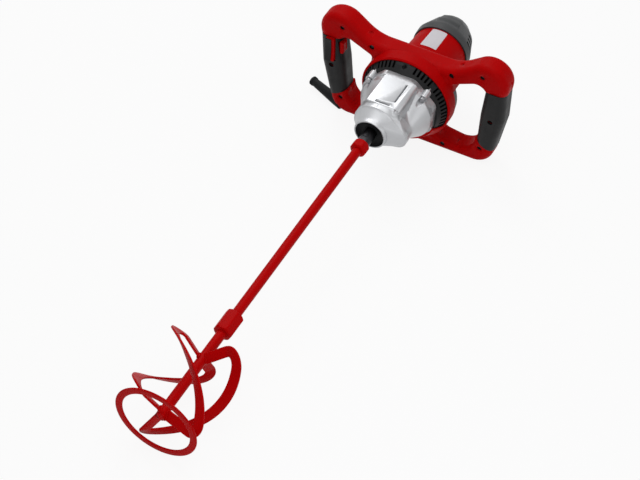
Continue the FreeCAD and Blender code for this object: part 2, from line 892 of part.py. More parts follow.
def cooling_fan():
    """Radial fan on the armature shaft."""
    end = fan_front + fan_width
    hub = cylinder(fan_hub_radius, fan_front, end, MOTOR)
    fan = cylinder(fan_radius, end - fan_plate, end, MOTOR).fuse(hub)
    blades = []
    for step in range(fan_blades):
        wing = block((fan_front, -fan_plate / 2, fan_hub_radius - overrun),
                     (end - fan_plate, fan_plate / 2, fan_radius))
        wing.rotate(ORIGIN, ALONG, step * 360 / fan_blades)
        wing.translate(Vector(0, *MOTOR))
        blades.append(wing)
    bore = cylinder(armature_shaft_radius + seat_clearance, fan_front - overrun, end + overrun, MOTOR)
    return fan.fuse(blades).cut(bore)


# Motor

def housing_profile(extra):
    """Outside of the motor housing as (along, radius) points, grown by a clearance."""
    return [(vent_back, housing_flange_radius + extra),
            (vent_back + housing_flange_length, housing_flange_radius + extra),
            (housing_cone_end, housing_front_radius + extra), (housing_back, housing_rear_radius + extra)]


def motor_housing():
    """Tapered motor tube with its front flange and the rear bearing wall."""
    shell = turned([(vent_back, 0)] + housing_profile(0) + [(housing_back, 0)], MOTOR)
    wall_front = housing_back - housing_end_wall
    inside_radius = housing_flange_radius - 2 * housing_wall
    hollow = turned([(vent_back - overrun, 0), (vent_back - overrun, inside_radius),
                     (vent_back + housing_flange_length - housing_wall, inside_radius),
                     (core_front, housing_bore), (wall_front, housing_bore), (wall_front, 0)], MOTOR)
    boss = cylinder(end_bearing_radius + end_boss_wall, wall_front, housing_back + end_bearing_width, MOTOR)
    shaft_hole = cylinder(armature_shaft_radius + 2 * moving_gap, wall_front - overrun, housing_back, MOTOR)
    pocket = cylinder(end_bearing_radius, housing_back, housing_back + end_bearing_width + overrun, MOTOR)
    windows = []
    for angle in range(0, 360, 60):
        middle = (end_bearing_radius + end_boss_wall + housing_rear_radius) / 2
        windows.append(cylinder(end_bearing_radius / 2, wall_front - overrun, housing_back + overrun,
                                polar(middle, angle, MOTOR)))
    screw_holes = [cylinder(case_screw_radius + seat_clearance, vent_back - overrun,
                            vent_back + housing_flange_length * 3 / 4, place) for place in lug_places()]
    screw_holes += [cylinder(cap_screw_radius + seat_clearance, wall_front - overrun,
                             housing_back + overrun, place)
                    for place in cap_screw_places()]
    return shell.cut(hollow).fuse(boss).cut([shaft_hole, pocket] + windows + screw_holes)


def cap_profile(inset):
    """Outside of the rear cap as (along, radius) points, or its inside when drawn in by the wall."""
    return [(cap_front, cap_lip_radius - inset), (cap_belly, cap_belly_radius - inset),
            (cap_shoulder - inset, cap_shoulder_radius - inset),
            (cap_crown - inset, cap_crown_radius - inset),
            (cap_back - inset, cap_back_radius - inset)]


def cap_screw_places():
    """Middles of the rear cap's screws."""
    return [polar(cap_screw_circle_radius, 90 + 360 / cap_screw_count * k, MOTOR)
            for k in range(cap_screw_count)]


def rear_cap():
    """Domed rear cap with rows of air slots on both sides and a post for each of its screws."""
    outside = turned([(cap_front, 0)] + cap_profile(0) + [(cap_back, 0)], MOTOR)
    inside = turned([(cap_front - overrun, 0), (cap_front - overrun, cap_lip_radius - cap_wall)]
                    + cap_profile(cap_wall)[1:] + [(cap_back - cap_wall, 0)], MOTOR)
    posts = [cylinder(cap_post_radius, housing_back, cap_back, place).common(outside)
             for place in cap_screw_places()]
    cuts = []
    reach = cap_belly_radius + overrun
    for row in range(cap_slot_rows):
        start = cap_belly + row * cap_slot_pitch
        end = start + cap_slot_width
        for side in (0, 180):
            cuts.append(sector([(start, cap_slot_floor), (start, reach), (end, reach), (end, cap_slot_floor)],
                               side - cap_slot_half_angle, side + cap_slot_half_angle))
    for place in cap_screw_places():
        cuts.append(cylinder(cap_screw_head + moving_gap, cap_screw_seat, cap_back, place))
        cuts.append(cylinder(cap_screw_radius + seat_clearance, housing_back - overrun, cap_back, place))
    return outside.cut(inside).fuse(posts + [cap_hump()]).cut(cuts)


def cap_radius(along):
    """Outside radius of the rear cap at a place along X."""
    profile = cap_profile(0)
    for (start, start_radius), (end, end_radius) in zip(profile, profile[1:]):
        if start <= along <= end:
            return start_radius + (end_radius - start_radius) * (along - start) / (end - start)
    return cap_back_radius


def cap_hump():
    """Raised patch on the top of the rear cap, sloped at the front and back and stepped at the sides."""
    places = [cap_hump_front, cap_hump_front + cap_hump_ramp, cap_shoulder, cap_hump_back - cap_hump_ramp / 2,
              cap_hump_back]
    lifts = [0, cap_hump_height, cap_hump_height, cap_hump_height, 0]
    top = [(along, cap_radius(along) + lift) for along, lift in zip(places, lifts)]
    under = [(along, cap_radius(along) - cap_wall / 2) for along in reversed(places)]
    return sector(top + under, cap_hump_first_angle, cap_hump_last_angle)


def rear_cap_screws():
    """Screws through the cap's posts into the end wall of the motor housing."""
    screws = []
    for place in cap_screw_places():
        head = cylinder(cap_screw_head, cap_screw_seat, cap_screw_seat + cap_screw_head_length, place)
        stem = cylinder(cap_screw_radius, housing_back - housing_end_wall, cap_screw_seat, place)
        screws.append(head.fuse(stem))
    return Part.makeCompound(screws)


def armature_core():
    """Slotted lamination stack of the armature."""
    core = cylinder(armature_radius, core_front, core_back, MOTOR)
    cuts = [cylinder(armature_shaft_radius + seat_clearance, core_front - overrun, core_back + overrun,
                     MOTOR)]
    for step in range(armature_slots):
        slot = block((core_front - overrun, -armature_slot_width / 2, armature_radius - armature_slot_depth),
                     (core_back + overrun, armature_slot_width / 2, armature_radius + overrun))
        slot.rotate(ORIGIN, ALONG, step * 360 / armature_slots)
        slot.translate(Vector(0, *MOTOR))
        cuts.append(slot)
    return core.cut(cuts)


def armature_windings():
    """End turns of the armature winding, in front of and behind the core."""
    ends = [tube(winding_radius, armature_shaft_radius + seat_clearance, start, start + winding_length, MOTOR)
            for start in (core_front - winding_length, core_back)]
    return Part.makeCompound(ends)


def commutator():
    """Copper commutator behind the rear winding."""
    return tube(commutator_radius, armature_shaft_radius + seat_clearance, commutator_front,
                commutator_front + commutator_length, MOTOR)


def coil_sector(inner, outer, start, end, middle):
    """Curved block of a field coil, above or below the armature."""
    return sector([(start, inner), (start, outer), (end, outer), (end, inner)],
                  middle - coil_angle / 2, middle + coil_angle / 2)


def stator_core():
    """Field lamination stack with windows for the two coils."""
    core = tube(housing_bore - seat_clearance, stator_bore, core_front, core_back, MOTOR)
    windows = [coil_sector(coil_inner_radius - seat_clearance, coil_outer_radius + seat_clearance,
                           core_front - overrun, core_back + overrun, middle) for middle in (90, 270)]
    return core.cut(windows)


def field_coils():
    """Two field coils that stand out of the stator at both ends."""
    return Part.makeCompound([coil_sector(coil_inner_radius, coil_outer_radius, core_front - coil_overhang,
                                          core_back + coil_overhang, middle) for middle in (90, 270)])


def brush(side):
    """Carbon brush beside the commutator."""
    front = commutator_front + (commutator_length - brush_width) / 2
    start = commutator_radius + brush_gap
    box = block((front, start, -motor_offset - brush_height / 2),
                (front + brush_width, start + brush_length, -motor_offset + brush_height / 2))
    return box if side > 0 else mirrored(box)


def brush_holder(side):
    """Brass box that guides a brush."""
    front = commutator_front + (commutator_length - brush_width) / 2
    start = commutator_radius + 3 * brush_gap
    low = -motor_offset - brush_height / 2
    high = -motor_offset + brush_height / 2
    wall = holder_wall + seat_clearance
    outside = block((front - wall, start, low - wall),
                    (front + brush_width + wall, start + holder_length, high + wall))
    inside = block((front - seat_clearance, start - overrun, low - seat_clearance),
                   (front + brush_width + seat_clearance, start + holder_length - holder_wall,
                    high + seat_clearance))
    box = outside.cut(inside)
    return box if side > 0 else mirrored(box)


# Handle frame

def frame_outline():
    """Outer outline of the frame: lower corners, upper bulbs and the dip of the beam between them."""
    half = [(heel_across, -heel_drop, heel_radius), (bulb_across, bulb_height, bulb_radius),
            (dip_across, dip_height, -dip_radius)]
    return belt(half + [(-across, height, radius) for across, height, radius in reversed(half)])


def loop_outline():
    """Hand opening between hub, beam, grip and lower arm, on the trigger side."""
    return belt(loop_circles())


def loop_circles():
    """Circles that the hand opening's outline runs round."""
    return [(loop_heel_across, -loop_heel_drop, loop_heel_radius),
            (loop_low_across, -loop_low_drop, loop_low_radius),
            (loop_top_across, loop_top_height, loop_top_radius),
            (loop_throat_across, loop_throat_height, loop_throat_radius),
            (MOTOR[0], MOTOR[1], -hub_radius)]


def grip_zone():
    """Stretch of the trigger-side grip that the rubber covers."""
    corners = [(grip_inner_limit, grip_low_inner), (grip_outer_limit, grip_low_outer),
               (grip_outer_limit, grip_top), (grip_inner_limit, grip_top)]
    return prism(polygon(corners), grip_front - overrun, grip_front + grip_depth + overrun)


def grip_body(inset, edge):
    """Barrel-shaped grip, drawn in by the rubber for the core."""
    circles = [(across, height, radius - inset) for across, height, radius in
               (grip_low, grip_middle, grip_high, grip_middle)]
    front = grip_front + inset
    back = grip_front + grip_depth - inset
    body = prism(belt(circles), front, back)
    return body.makeFillet(edge, edges_at(body, front) + edges_at(body, back))


def housing_seat():
    """Space that the vent ring and motor housing fill inside the frame."""
    ring = cylinder(vent_radius + seat_clearance, collar_front - overrun, vent_back, MOTOR)
    profile = housing_profile(seat_clearance)
    seat = turned([(vent_back, 0)] + profile + [(housing_back, 0)], MOTOR)
    return ring.fuse(seat)


def sector(profile, first, last):
    """Part of a solid of revolution about the motor axis, between two angles from +Y towards +Z."""
    points = [Vector(along, MOTOR[0] + radius, MOTOR[1]) for along, radius in profile]
    face = Part.Face(Part.makePolygon(points + points[:1]))
    face.rotate(Vector(0, *MOTOR), ALONG, first)
    return face.revolve(Vector(0, *MOTOR), ALONG, last - first)


def side_panel_space():
    """Sector of the hub that the trigger-side panel takes the place of."""
    outside = hub_radius + overrun
    return sector([(collar_back, 0), (collar_back, outside), (frame_back + overrun, outside),
                   (frame_back + overrun, 0)], side_panel_low_angle, side_panel_high_angle)


def side_panel():
    """Grey panel that closes the hub behind the collar, inside the trigger-side opening."""
    panel = sector([(collar_back, 0), (collar_back, side_panel_radius), (side_panel_round, side_panel_radius),
                    (side_panel_back, side_panel_back_radius), (side_panel_back, 0)],
                   side_panel_low_angle, side_panel_high_angle)
    return panel.cut(housing_seat())


def frame_solid():
    """Whole handle frame with rounded edges, hub collar and grip cores, before it is split."""
    frame = prism(frame_outline(), frame_front, frame_back)
    frame = frame.makeFillet(frame_edge, edges_at(frame, frame_front) + edges_at(frame, frame_back))
    loop = prism(loop_outline(), frame_front - overrun, frame_back + overrun)
    frame = frame.cut([loop, mirrored(loop)])
    frame = frame.makeFillet(loop_edge, hole_edges(frame, frame_front) + hole_edges(frame, frame_back))
    collar = turned([(collar_front, 0), (collar_front, collar_radius - collar_edge),
                     (collar_front + collar_edge, collar_radius), (collar_back, collar_radius),
                     (collar_back, 0)], MOTOR)
    zone = grip_zone()
    core = grip_body(grip_rubber, grip_core_edge).common(zone)
    panel_space = side_panel_space()
    frame = frame.cut([zone, mirrored(zone), panel_space, mirrored(panel_space)])
    frame = frame.fuse([collar, shroud(), core, mirrored(core)])
    return frame.cut([housing_seat()] + frame_pockets())


def shroud():
    """Red cover over the lower part of the vent ring, between the collar and the gear case's flange."""
    cover = sector([(shroud_front, shroud_inner_radius), (shroud_front, shroud_front_radius),
                    (collar_front, collar_radius - collar_edge), (collar_front, vent_radius + seat_clearance),
                    (case_back, vent_front_radius + seat_clearance), (case_back, shroud_inner_radius)],
                   shroud_first_angle, shroud_last_angle)
    screws = [cylinder(case_screw_radius + moving_gap, shroud_front, collar_back, place)
              for place in lug_places()]
    return cover.cut([case_casting()] + screws)


def frame_pockets():
    """Spaces in the frame for trigger, switch, lock button and strain relief."""
    return [trigger_space(), pin_cylinder(pivot_radius + seat_clearance), switch_space(), button_space(),
            sleeve_space()]


def screw_positions():
    """Shell screws on both sides of the frame."""
    beam_place = (beam_screw_across, saddle_height - beam_screw_drop)
    return [(side * across, height) for across, height in (beam_place,) + screw_places for side in (1, -1)]


def front_screw_face():
    """Where the head of a shell screw seats along X."""
    return frame_front + screw_sink


def screw_holes():
    """Counterbored holes for the shell screws."""
    holes = []
    for place in screw_positions():
        seat = front_screw_face()
        holes.append(cylinder(screw_head_radius + moving_gap, grip_front - overrun, seat, place))
        holes.append(cylinder(screw_radius + seat_clearance, seat, seat + screw_length, place))
    return holes


def shell_screws():
    """Screws that hold the two half shells together."""
    screws = []
    for place in screw_positions():
        seat = front_screw_face()
        head = cylinder(screw_head_radius, seat - screw_head_length, seat, place)
        screws.append(head.fuse(cylinder(screw_radius, seat, seat + screw_length, place)))
    return Part.makeCompound(screws)


def half_space(front):
    """Large block in front of the split plane, or behind it."""
    reach = bulb_across + bulb_radius + hub_radius
    low = shroud_front - overrun if front else split_plane
    high = split_plane if front else frame_back + overrun
    return block((low, -reach, -reach), (high, reach, reach))


def grip_cover(front):
    """Rubber on one half of the trigger-side grip, and its bare twin for the other side."""
    sleeve = grip_body(0, grip_edge).common(grip_zone()).cut(grip_body(grip_rubber, grip_core_edge))
    return sleeve.common(half_space(front)).cut(screw_holes())


# Trigger, lock button, switch and strain relief

def trigger_profile(front_shift, back_limit):
    """Side view of the trigger: a slightly hollow front face and a flat back."""
    middle_height = (trigger_top + trigger_bottom) / 2
    top_front = Vector(trigger_front + trigger_curve + front_shift, trigger_inner, trigger_top)
    hollow = Vector(trigger_front + trigger_curve + front_shift, trigger_inner, middle_height)
    low_front = Vector(trigger_front + front_shift, trigger_inner, trigger_bottom)
    low_back = Vector(back_limit, trigger_inner, trigger_bottom)
    top_back = Vector(back_limit + trigger_root_depth, trigger_inner, trigger_top)
    edges = [Part.Arc(top_front, hollow, low_front).toShape(),
             Part.LineSegment(low_front, low_back).toShape(),
             Part.LineSegment(low_back, top_back).toShape(), Part.LineSegment(top_back, top_front).toShape()]
    return Part.Face(Part.Wire(edges)).extrude(ACROSS * trigger_width)


def trigger():
    """Finger lever that turns on the trigger pin."""
    lever = trigger_profile(0, trigger_back)
    hole = Part.makeCylinder(pivot_radius + running_clearance, trigger_width + 2 * overrun,
                             Vector(pivot_along, trigger_inner - overrun, pivot_height), ACROSS)
    return lever.cut(hole)


def trigger_pin():
    """Pin across the grip that carries the trigger."""
    return pin_cylinder(pivot_radius)


def pin_cylinder(radius):
    """Cylinder across the grip on the trigger's axis, reaching into the wall on both sides."""
    return Part.makeCylinder(radius, trigger_width + 2 * pivot_reach,
                             Vector(pivot_along, trigger_inner - pivot_reach, pivot_height), ACROSS)


def trigger_cover():
    """Soft pad on the front face of the trigger, which leaves a strip of its inner side bare."""
    thick = trigger_profile(-trigger_pad, trigger_back)
    bare = thick.BoundBox
    strip = block((bare.XMin - overrun, trigger_inner - overrun, bare.ZMin - overrun),
                  (bare.XMax + overrun, trigger_inner + trigger_strip_width, bare.ZMax + overrun))
    return thick.cut([trigger_profile(0, trigger_back), strip])


def trigger_space():
    """Slot in the grip that the trigger swings in."""
    swept = trigger_profile(-2 * trigger_pad - overrun, trigger_back)
    turned_in = trigger_profile(0, trigger_back)
    turned_in.rotate(Vector(pivot_along, 0, pivot_height), ACROSS, -trigger_travel - 2)
    room = swept.fuse(turned_in).BoundBox
    return block((room.XMin, trigger_inner - moving_gap, room.ZMin - 2 * moving_gap),
                 (switch_front, trigger_inner + trigger_width + moving_gap, room.ZMax + moving_gap))


def switch_corners(gap):
    """Lower and upper corner of the switch, grown by a gap."""
    middle = trigger_inner + trigger_width / 2
    return ((switch_front, middle - switch_width / 2 - gap, switch_bottom - gap),
            (switch_front + switch_depth + gap, middle + switch_width / 2 + gap,
             switch_bottom + switch_height + gap))


def switch_body():
    """Mains switch behind the trigger."""
    low, high = switch_corners(0)
    return block(low, high)


def switch_space():
    """Pocket for the switch."""
    low, high = switch_corners(seat_clearance)
    return block(low, high)


def button_block(gap, reach):
    """Block of the lock button, or the hole that it slides in."""
    return block((button_front - gap, button_inner - reach, button_bottom - gap),
                 (button_front + button_width + gap, button_inner + button_depth + reach,
                  button_bottom + button_height + gap))


def lock_button():
    """Push button that holds the trigger in, with a finger slot in its face."""
    button = button_block(0, 0)
    face_edges = [edge for edge in button.Edges
                  if all(math.isclose(vertex.Y, button_inner) for vertex in edge.Vertexes)]
    button = button.makeFillet(button_edge_radius, face_edges)
    middle = button_front + button_width / 2
    slot = block((middle, button_inner - overrun, button_bottom + button_height / 4),
                 (middle + button_slot_width, button_inner + button_slot_depth,
                  button_bottom + button_height + overrun))
    return button.cut(slot)


def button_space():
    """Hole for the lock button and its travel."""
    return button_block(moving_gap, button_travel + moving_gap)


def along_sleeve(shape):
    """Turn and move a piece built along X to the strain relief's place."""
    shape.rotate(ORIGIN, UPWARD, 90 - sleeve_turn)
    shape.translate(Vector(sleeve_along, sleeve_across, -sleeve_drop))
    return shape


def strain_relief():
    """Tapered rubber sleeve with a lip, bored for the power cord."""
    taper_end = sleeve_length - sleeve_lip_length
    sleeve = turned([(0, sleeve_bore), (0, sleeve_radius), (sleeve_root, sleeve_radius),
                     (taper_end, sleeve_tip_radius), (taper_end, sleeve_lip_radius),
                     (sleeve_length, sleeve_lip_radius), (sleeve_length, sleeve_bore)])
    return along_sleeve(sleeve)


def sleeve_space():
    """Socket in the shells for the root of the strain relief."""
    return along_sleeve(cylinder(sleeve_radius + seat_clearance, 0, sleeve_root + heel_radius))


# Assembly

def build():
    """Every piece by name, in the tool's own axes."""
    shell = frame_solid().cut(screw_holes())
    front_bearing = nose_recess + seal_width
    shoulder_back = shoulder_front + shoulder_length
    pieces = {
        "front_handle_shell": shell.common(half_space(True)),
        "rear_handle_shell": shell.common(half_space(False)),
        "left_side_panel": side_panel(),
        "right_side_panel": mirrored(side_panel()),
        "shell_screws": shell_screws(),
        "gear_case": gear_case(),
        "gear_plate": gear_plate(),
        "gear_case_screws": case_screws(),
        "vent_ring": vent_ring(),
        "bearing_plate": bearing_plate(),
        "motor_housing": motor_housing(),
        "rear_cap": rear_cap(),
        "rear_cap_screws": rear_cap_screws(),
        "spindle_seal": spindle_seal(),
        "spindle_front_bearing": bearing(spindle_bearing_radius, spindle_radius, front_bearing,
                                         spindle_bearing_width, SPINDLE),
        "spindle_rear_bearing": bearing(rear_spindle_bearing_radius, spindle_rear_radius, gear_plate_front,
                                        rear_spindle_bearing_width, SPINDLE),
        "idler_front_bearing": bearing(idler_bearing_radius, idler_end_radius,
                                       shoulder_back - idler_bearing_width, idler_bearing_width, IDLER),
        "idler_rear_bearing": bearing(idler_bearing_radius, idler_end_radius, case_back - plate_boss_length,
                                      idler_bearing_width, IDLER),
        "armature_front_bearing": bearing(armature_bearing_radius, armature_shaft_radius,
                                          plate_back - armature_bearing_width, armature_bearing_width, MOTOR),
        "armature_rear_bearing": bearing(end_bearing_radius, armature_end_radius, housing_back,
                                         end_bearing_width, MOTOR),
        "stator_core": stator_core(),
        "field_coils": field_coils(),
        "carbon_brushes": Part.makeCompound([brush(1), brush(-1)]),
        "brush_holders": Part.makeCompound([brush_holder(1), brush_holder(-1)]),
        "switch_body": switch_body(),
        "trigger_pin": trigger_pin(),
        "strain_relief": strain_relief(),
        "armature_shaft": armature_shaft(),
        "armature_core": armature_core(),
        "armature_windings": armature_windings(),
        "commutator": commutator(),
        "cooling_fan": cooling_fan(),
        "idler_shaft": idler_shaft(),
        "idler_gear": idler_gear(),
        "spindle": spindle(),
        "output_gear": output_gear(),
        "upper_rod": upper_rod(),
        "coupling_sleeve": coupling_sleeve(),
        "lower_rod": lower_rod(),
        "foot_ring": foot_ring(),
        "trigger": trigger(),
        "trigger_cover": trigger_cover(),
        "lock_button": lock_button(),
    }
    for number in range(blade_count):
        pieces[f"blade_{number + 1}"] = blade(blade_first_angle + number * 360 / blade_count)
    for name, front in (("front", True), ("rear", False)):
        cover = grip_cover(front)
        pieces[f"right_grip_{name}"] = mirrored(cover)
        pieces[f"left_grip_{name}"] = cover.cut([trigger_space(), button_space()])
    return pieces


def floor_tilt():
    """Angle in degrees that brings the foot ring and the frame's lower bar onto one floor."""
    run = frame_front + frame_edge - paddle_end
    rise = heel_drop + heel_radius - frame_edge - foot_ring_radius
    return math.degrees(math.atan2(rise, run) + math.asin(frame_edge / math.hypot(run, rise)))


def laid_down(pieces):
    """Lay the tool on the floor, with the origin below the middle of its box."""
    placed = {name: shape.copy() for name, shape in pieces.items()}
    for shape in placed.values():
        shape.rotate(ORIGIN, ACROSS, -floor_tilt())
    box = Part.makeCompound(list(placed.values())).optimalBoundingBox(False, False)
    shift = Vector(-box.Center.x, -box.Center.y, -box.ZMin)
    for shape in placed.values():
        shape.translate(shift)
    return placed, shift


def main():
    """Build, lay down and write every piece."""
    os.makedirs("parts", exist_ok=True)
    placed, shift = laid_down(build())
    for name, shape in placed.items():
        shape.exportStep(f"parts/{name}.step")
    places = [round(value, 4) for value in shift]
    print("tilt in degrees", round(floor_tilt(), 4), "shift in millimetres", places)


main()
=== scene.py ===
"""Looks of a two-handed mixing drill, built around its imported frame.

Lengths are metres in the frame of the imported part. ToolAxes turns the tool's own axes into that frame: zero
at the nose face, +X along the spindle towards the motor, +Y towards the trigger grip, +Z to the frame's top.
"""

import functools
import json
import logging
import math
from dataclasses import dataclass
from enum import Enum

import bmesh
import bpy
import numpy as np
from mathutils import Matrix, Vector


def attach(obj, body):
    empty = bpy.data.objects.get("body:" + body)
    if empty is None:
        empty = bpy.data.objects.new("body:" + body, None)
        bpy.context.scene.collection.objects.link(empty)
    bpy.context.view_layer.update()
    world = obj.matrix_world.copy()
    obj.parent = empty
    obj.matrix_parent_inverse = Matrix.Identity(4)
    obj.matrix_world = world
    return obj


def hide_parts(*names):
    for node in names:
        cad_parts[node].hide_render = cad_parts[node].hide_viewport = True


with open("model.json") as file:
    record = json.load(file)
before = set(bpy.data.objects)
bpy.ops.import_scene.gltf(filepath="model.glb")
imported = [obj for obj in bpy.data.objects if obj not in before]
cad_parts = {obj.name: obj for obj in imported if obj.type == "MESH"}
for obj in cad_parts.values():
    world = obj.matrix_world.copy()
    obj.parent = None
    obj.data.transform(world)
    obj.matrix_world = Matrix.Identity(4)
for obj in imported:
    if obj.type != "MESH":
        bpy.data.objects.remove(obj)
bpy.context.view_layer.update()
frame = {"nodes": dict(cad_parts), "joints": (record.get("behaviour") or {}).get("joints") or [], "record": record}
LOG = logging.getLogger("mixing_drill")
TURN = 2 * math.pi
ALONG = np.array([1.0, 0.0, 0.0])
OFF_AXIS = np.array([0.0, 1.0, 1.0])
Triple = tuple[float, float, float]


class Body(str, Enum):
    """Moving bodies of the part."""

    TOOL = "tool_body"
    SPINDLE = "spindle"
    IDLER = "idler"
    ARMATURE = "armature"
    TRIGGER = "trigger"
    LOCK = "lock_button"


class Slot(str, Enum):
    """Material slots of the record that new pieces are passed with."""

    GREY_PLASTIC = "grey_plastic"
    BLACK_PLASTIC = "black_plastic"
    RED_PAINT = "red_paint"


@dataclass(frozen=True)
class ToolAxes:
    """The tool's own axes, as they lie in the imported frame.

    Args:
        origin: Middle of the nose face.
        along: Unit direction of the spindle, towards the motor.
        across: Unit direction towards the trigger grip.
        upward: Unit direction towards the top of the handle frame.
    """

    origin: Triple
    along: Triple
    across: Triple
    upward: Triple

    @classmethod
    def of_frame(cls) -> "ToolAxes":
        """Read the axes from the spindle's joint.

        Returns:
            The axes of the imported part.
        """
        joint = next(joint for joint in frame["joints"] if joint["name"] == "spindle_spin")
        along = Vector(joint["axis"]).normalized()
        across = Vector((0, 1, 0))
        return cls(tuple(joint["pos_m"]), tuple(along), tuple(across), tuple(along.cross(across)))

    def turned(self, directions: np.ndarray) -> np.ndarray:
        """Turn directions from the tool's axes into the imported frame.

        Args:
            directions: Array whose last axis holds along, across and upward.

        Returns:
            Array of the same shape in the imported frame.
        """
        return np.asarray(directions, float) @ np.array([self.along, self.across, self.upward])

    def placed(self, points: np.ndarray) -> np.ndarray:
        """Carry points from the tool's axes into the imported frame.

        Args:
            points: Array whose last axis holds along, across and upward.

        Returns:
            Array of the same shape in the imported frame.
        """
        return self.turned(points) + np.array(self.origin)


AXES = ToolAxes.of_frame()


# Finishes

SRGB_KNEE = 0.04045
SRGB_SLOPE = 12.92
SRGB_OFFSET = 0.055
SRGB_POWER = 2.4
NOISE_LOW = 0.3
NOISE_HIGH = 0.7
NOISE_DETAIL = 3.0


@dataclass(frozen=True)
class Finish:
    """One surface finish: a colour that varies a little, an uneven gloss and a fine grain.

    Args:
        name: Name of the material.
        colour: Base colour as it shows on a screen, 0 to 1.
        roughness: Middle roughness of the surface.
        metallic: 1 for bare metal, less for a dull or blackened one, 0 for anything else.
        specular: Strength of the reflection of a surface that is not metal.
        grain: Grains to the metre.
        grain_height: Depth of the grain.
        mottle: Share by which the colour varies from place to place.
        mottle_scale: Patches of that variation to the metre.
        gloss_spread: How far the roughness departs from its middle.
        stretch: Scales of grain and patches along X, Y and Z.
    """

    name: str
    colour: Triple
    roughness: float
    metallic: float = 0.0
    specular: float = 0.5
    grain: float = 2000.0
    grain_height: float = 0.00005
    mottle: float = 0.04
    mottle_scale: float = 60.0
    gloss_spread: float = 0.06
    stretch: Triple = (1.0, 1.0, 1.0)

    def linear(self, factor: float) -> tuple[float, float, float, float]:
        """Colour in linear light.

        Args:
            factor: What the linear colour is multiplied by.

        Returns:
            Red, green, blue and alpha.
        """
        screen = np.array(self.colour)
        bright = ((screen + SRGB_OFFSET) / (1 + SRGB_OFFSET)) ** SRGB_POWER
        light = np.where(screen <= SRGB_KNEE, screen / SRGB_SLOPE, bright)
        return (*np.clip(light * factor, 0, 1).tolist(), 1.0)

    def material(self) -> bpy.types.Material:
        """Node material of this finish, made once.

        Returns:
            The material.
        """
        return finish_material(self)


@functools.lru_cache(maxsize=None)
def finish_material(finish: Finish) -> bpy.types.Material:
    """Build the node material of a finish.

    Patches of noise carry the colour and the roughness from their low to their high value, and a finer noise
    gives the height of the grain.

    Args:
        finish: The finish to build.

    Returns:
        The new material.
    """
    material = bpy.data.materials.new(finish.name)
    material.use_nodes = True
    tree = material.node_tree
    shader = tree.nodes["Principled BSDF"]
    shader.inputs["Metallic"].default_value = finish.metallic
    shader.inputs["Specular IOR Level"].default_value = finish.specular
    mapping = tree.nodes.new("ShaderNodeMapping")
    mapping.inputs["Scale"].default_value = finish.stretch
    tree.links.new(tree.nodes.new("ShaderNodeTexCoord").outputs["Object"], mapping.inputs["Vector"])
    place = mapping.outputs["Vector"]
    patches = noise(tree, place, finish.mottle_scale)
    ramp = tree.nodes.new("ShaderNodeValToRGB")
    ramp.color_ramp.elements[0].position = NOISE_LOW
    ramp.color_ramp.elements[0].color = finish.linear(1 - finish.mottle)
    ramp.color_ramp.elements[1].position = NOISE_HIGH
    ramp.color_ramp.elements[1].color = finish.linear(1 + finish.mottle)
    tree.links.new(patches, ramp.inputs["Fac"])
    tree.links.new(ramp.outputs["Color"], shader.inputs["Base Color"])
    gloss = tree.nodes.new("ShaderNodeMapRange")
    gloss.inputs["From Min"].default_value = NOISE_LOW
    gloss.inputs["From Max"].default_value = NOISE_HIGH
    gloss.inputs["To Min"].default_value = finish.roughness - finish.gloss_spread
    gloss.inputs["To Max"].default_value = finish.roughness + finish.gloss_spread
    tree.links.new(patches, gloss.inputs["Value"])
    tree.links.new(gloss.outputs["Result"], shader.inputs["Roughness"])
    bump = tree.nodes.new("ShaderNodeBump")
    bump.inputs["Strength"].default_value = 1.0
    bump.inputs["Distance"].default_value = finish.grain_height
    tree.links.new(noise(tree, place, finish.grain), bump.inputs["Height"])
    tree.links.new(bump.outputs["Normal"], shader.inputs["Normal"])
    return material


def noise(tree: bpy.types.NodeTree, place: bpy.types.NodeSocket, scale: float) -> bpy.types.NodeSocket:
    """Add a noise texture.

    Args:
        tree: Node tree to add to.
        place: Socket with the coordinates.
        scale: Patches to the metre.

    Returns:
        Socket with the noise value.
    """
    node = tree.nodes.new("ShaderNodeTexNoise")
    node.inputs["Scale"].default_value = scale
    node.inputs["Detail"].default_value = NOISE_DETAIL
    tree.links.new(place, node.inputs["Vector"])
    return node.outputs["Fac"]


# Scales of marks that run in rings about the spindle's direction
TURNED = (1.0, 0.03, 0.03)

RED_PLASTIC = Finish("red moulded plastic", (0.71, 0.005, 0.012), 0.5, specular=0.045, grain=2600)
RED_PAINT = Finish("red powder coat", (0.72, 0.005, 0.01), 0.42, specular=0.04, grain=700)
GRIP_RUBBER = Finish("grey grip rubber", (0.075, 0.077, 0.08), 0.5, specular=0.2, grain=2200,
                     grain_height=0.00016, mottle=0.08)
GREY_PLASTIC = Finish("grey moulded plastic", (0.235, 0.24, 0.245), 0.46, specular=0.26, grain=2600,
                      grain_height=0.00007)
BLACK_PLASTIC = Finish("black moulded plastic", (0.07, 0.07, 0.075), 0.4, specular=0.16, grain=2600,
                       grain_height=0.00007)
BLACK_RUBBER = Finish("black rubber", (0.10, 0.105, 0.11), 0.6, specular=0.12, grain=1500,
                      grain_height=0.00007)
CAST_ALUMINIUM = Finish("die cast aluminium", (0.72, 0.725, 0.735), 0.36, metallic=0.75, specular=0.3,
                        grain=900, grain_height=0.00007, mottle=0.05, mottle_scale=35)
STEEL = Finish("machined steel", (0.62, 0.62, 0.63), 0.32, metallic=1.0, grain_height=0.00003, stretch=TURNED)
DARK_STEEL = Finish("blackened steel", (0.17, 0.17, 0.18), 0.32, metallic=0.9, grain_height=0.00003,
                    mottle=0.15, mottle_scale=300, stretch=TURNED)
COPPER = Finish("enamelled copper", (0.72, 0.42, 0.27), 0.4, metallic=1.0, grain=1800, grain_height=0.0002)
LAMINATION = Finish("stacked sheet", (0.42, 0.42, 0.43), 0.5, metallic=1.0, grain=1500, grain_height=0.0002,
                    stretch=TURNED)
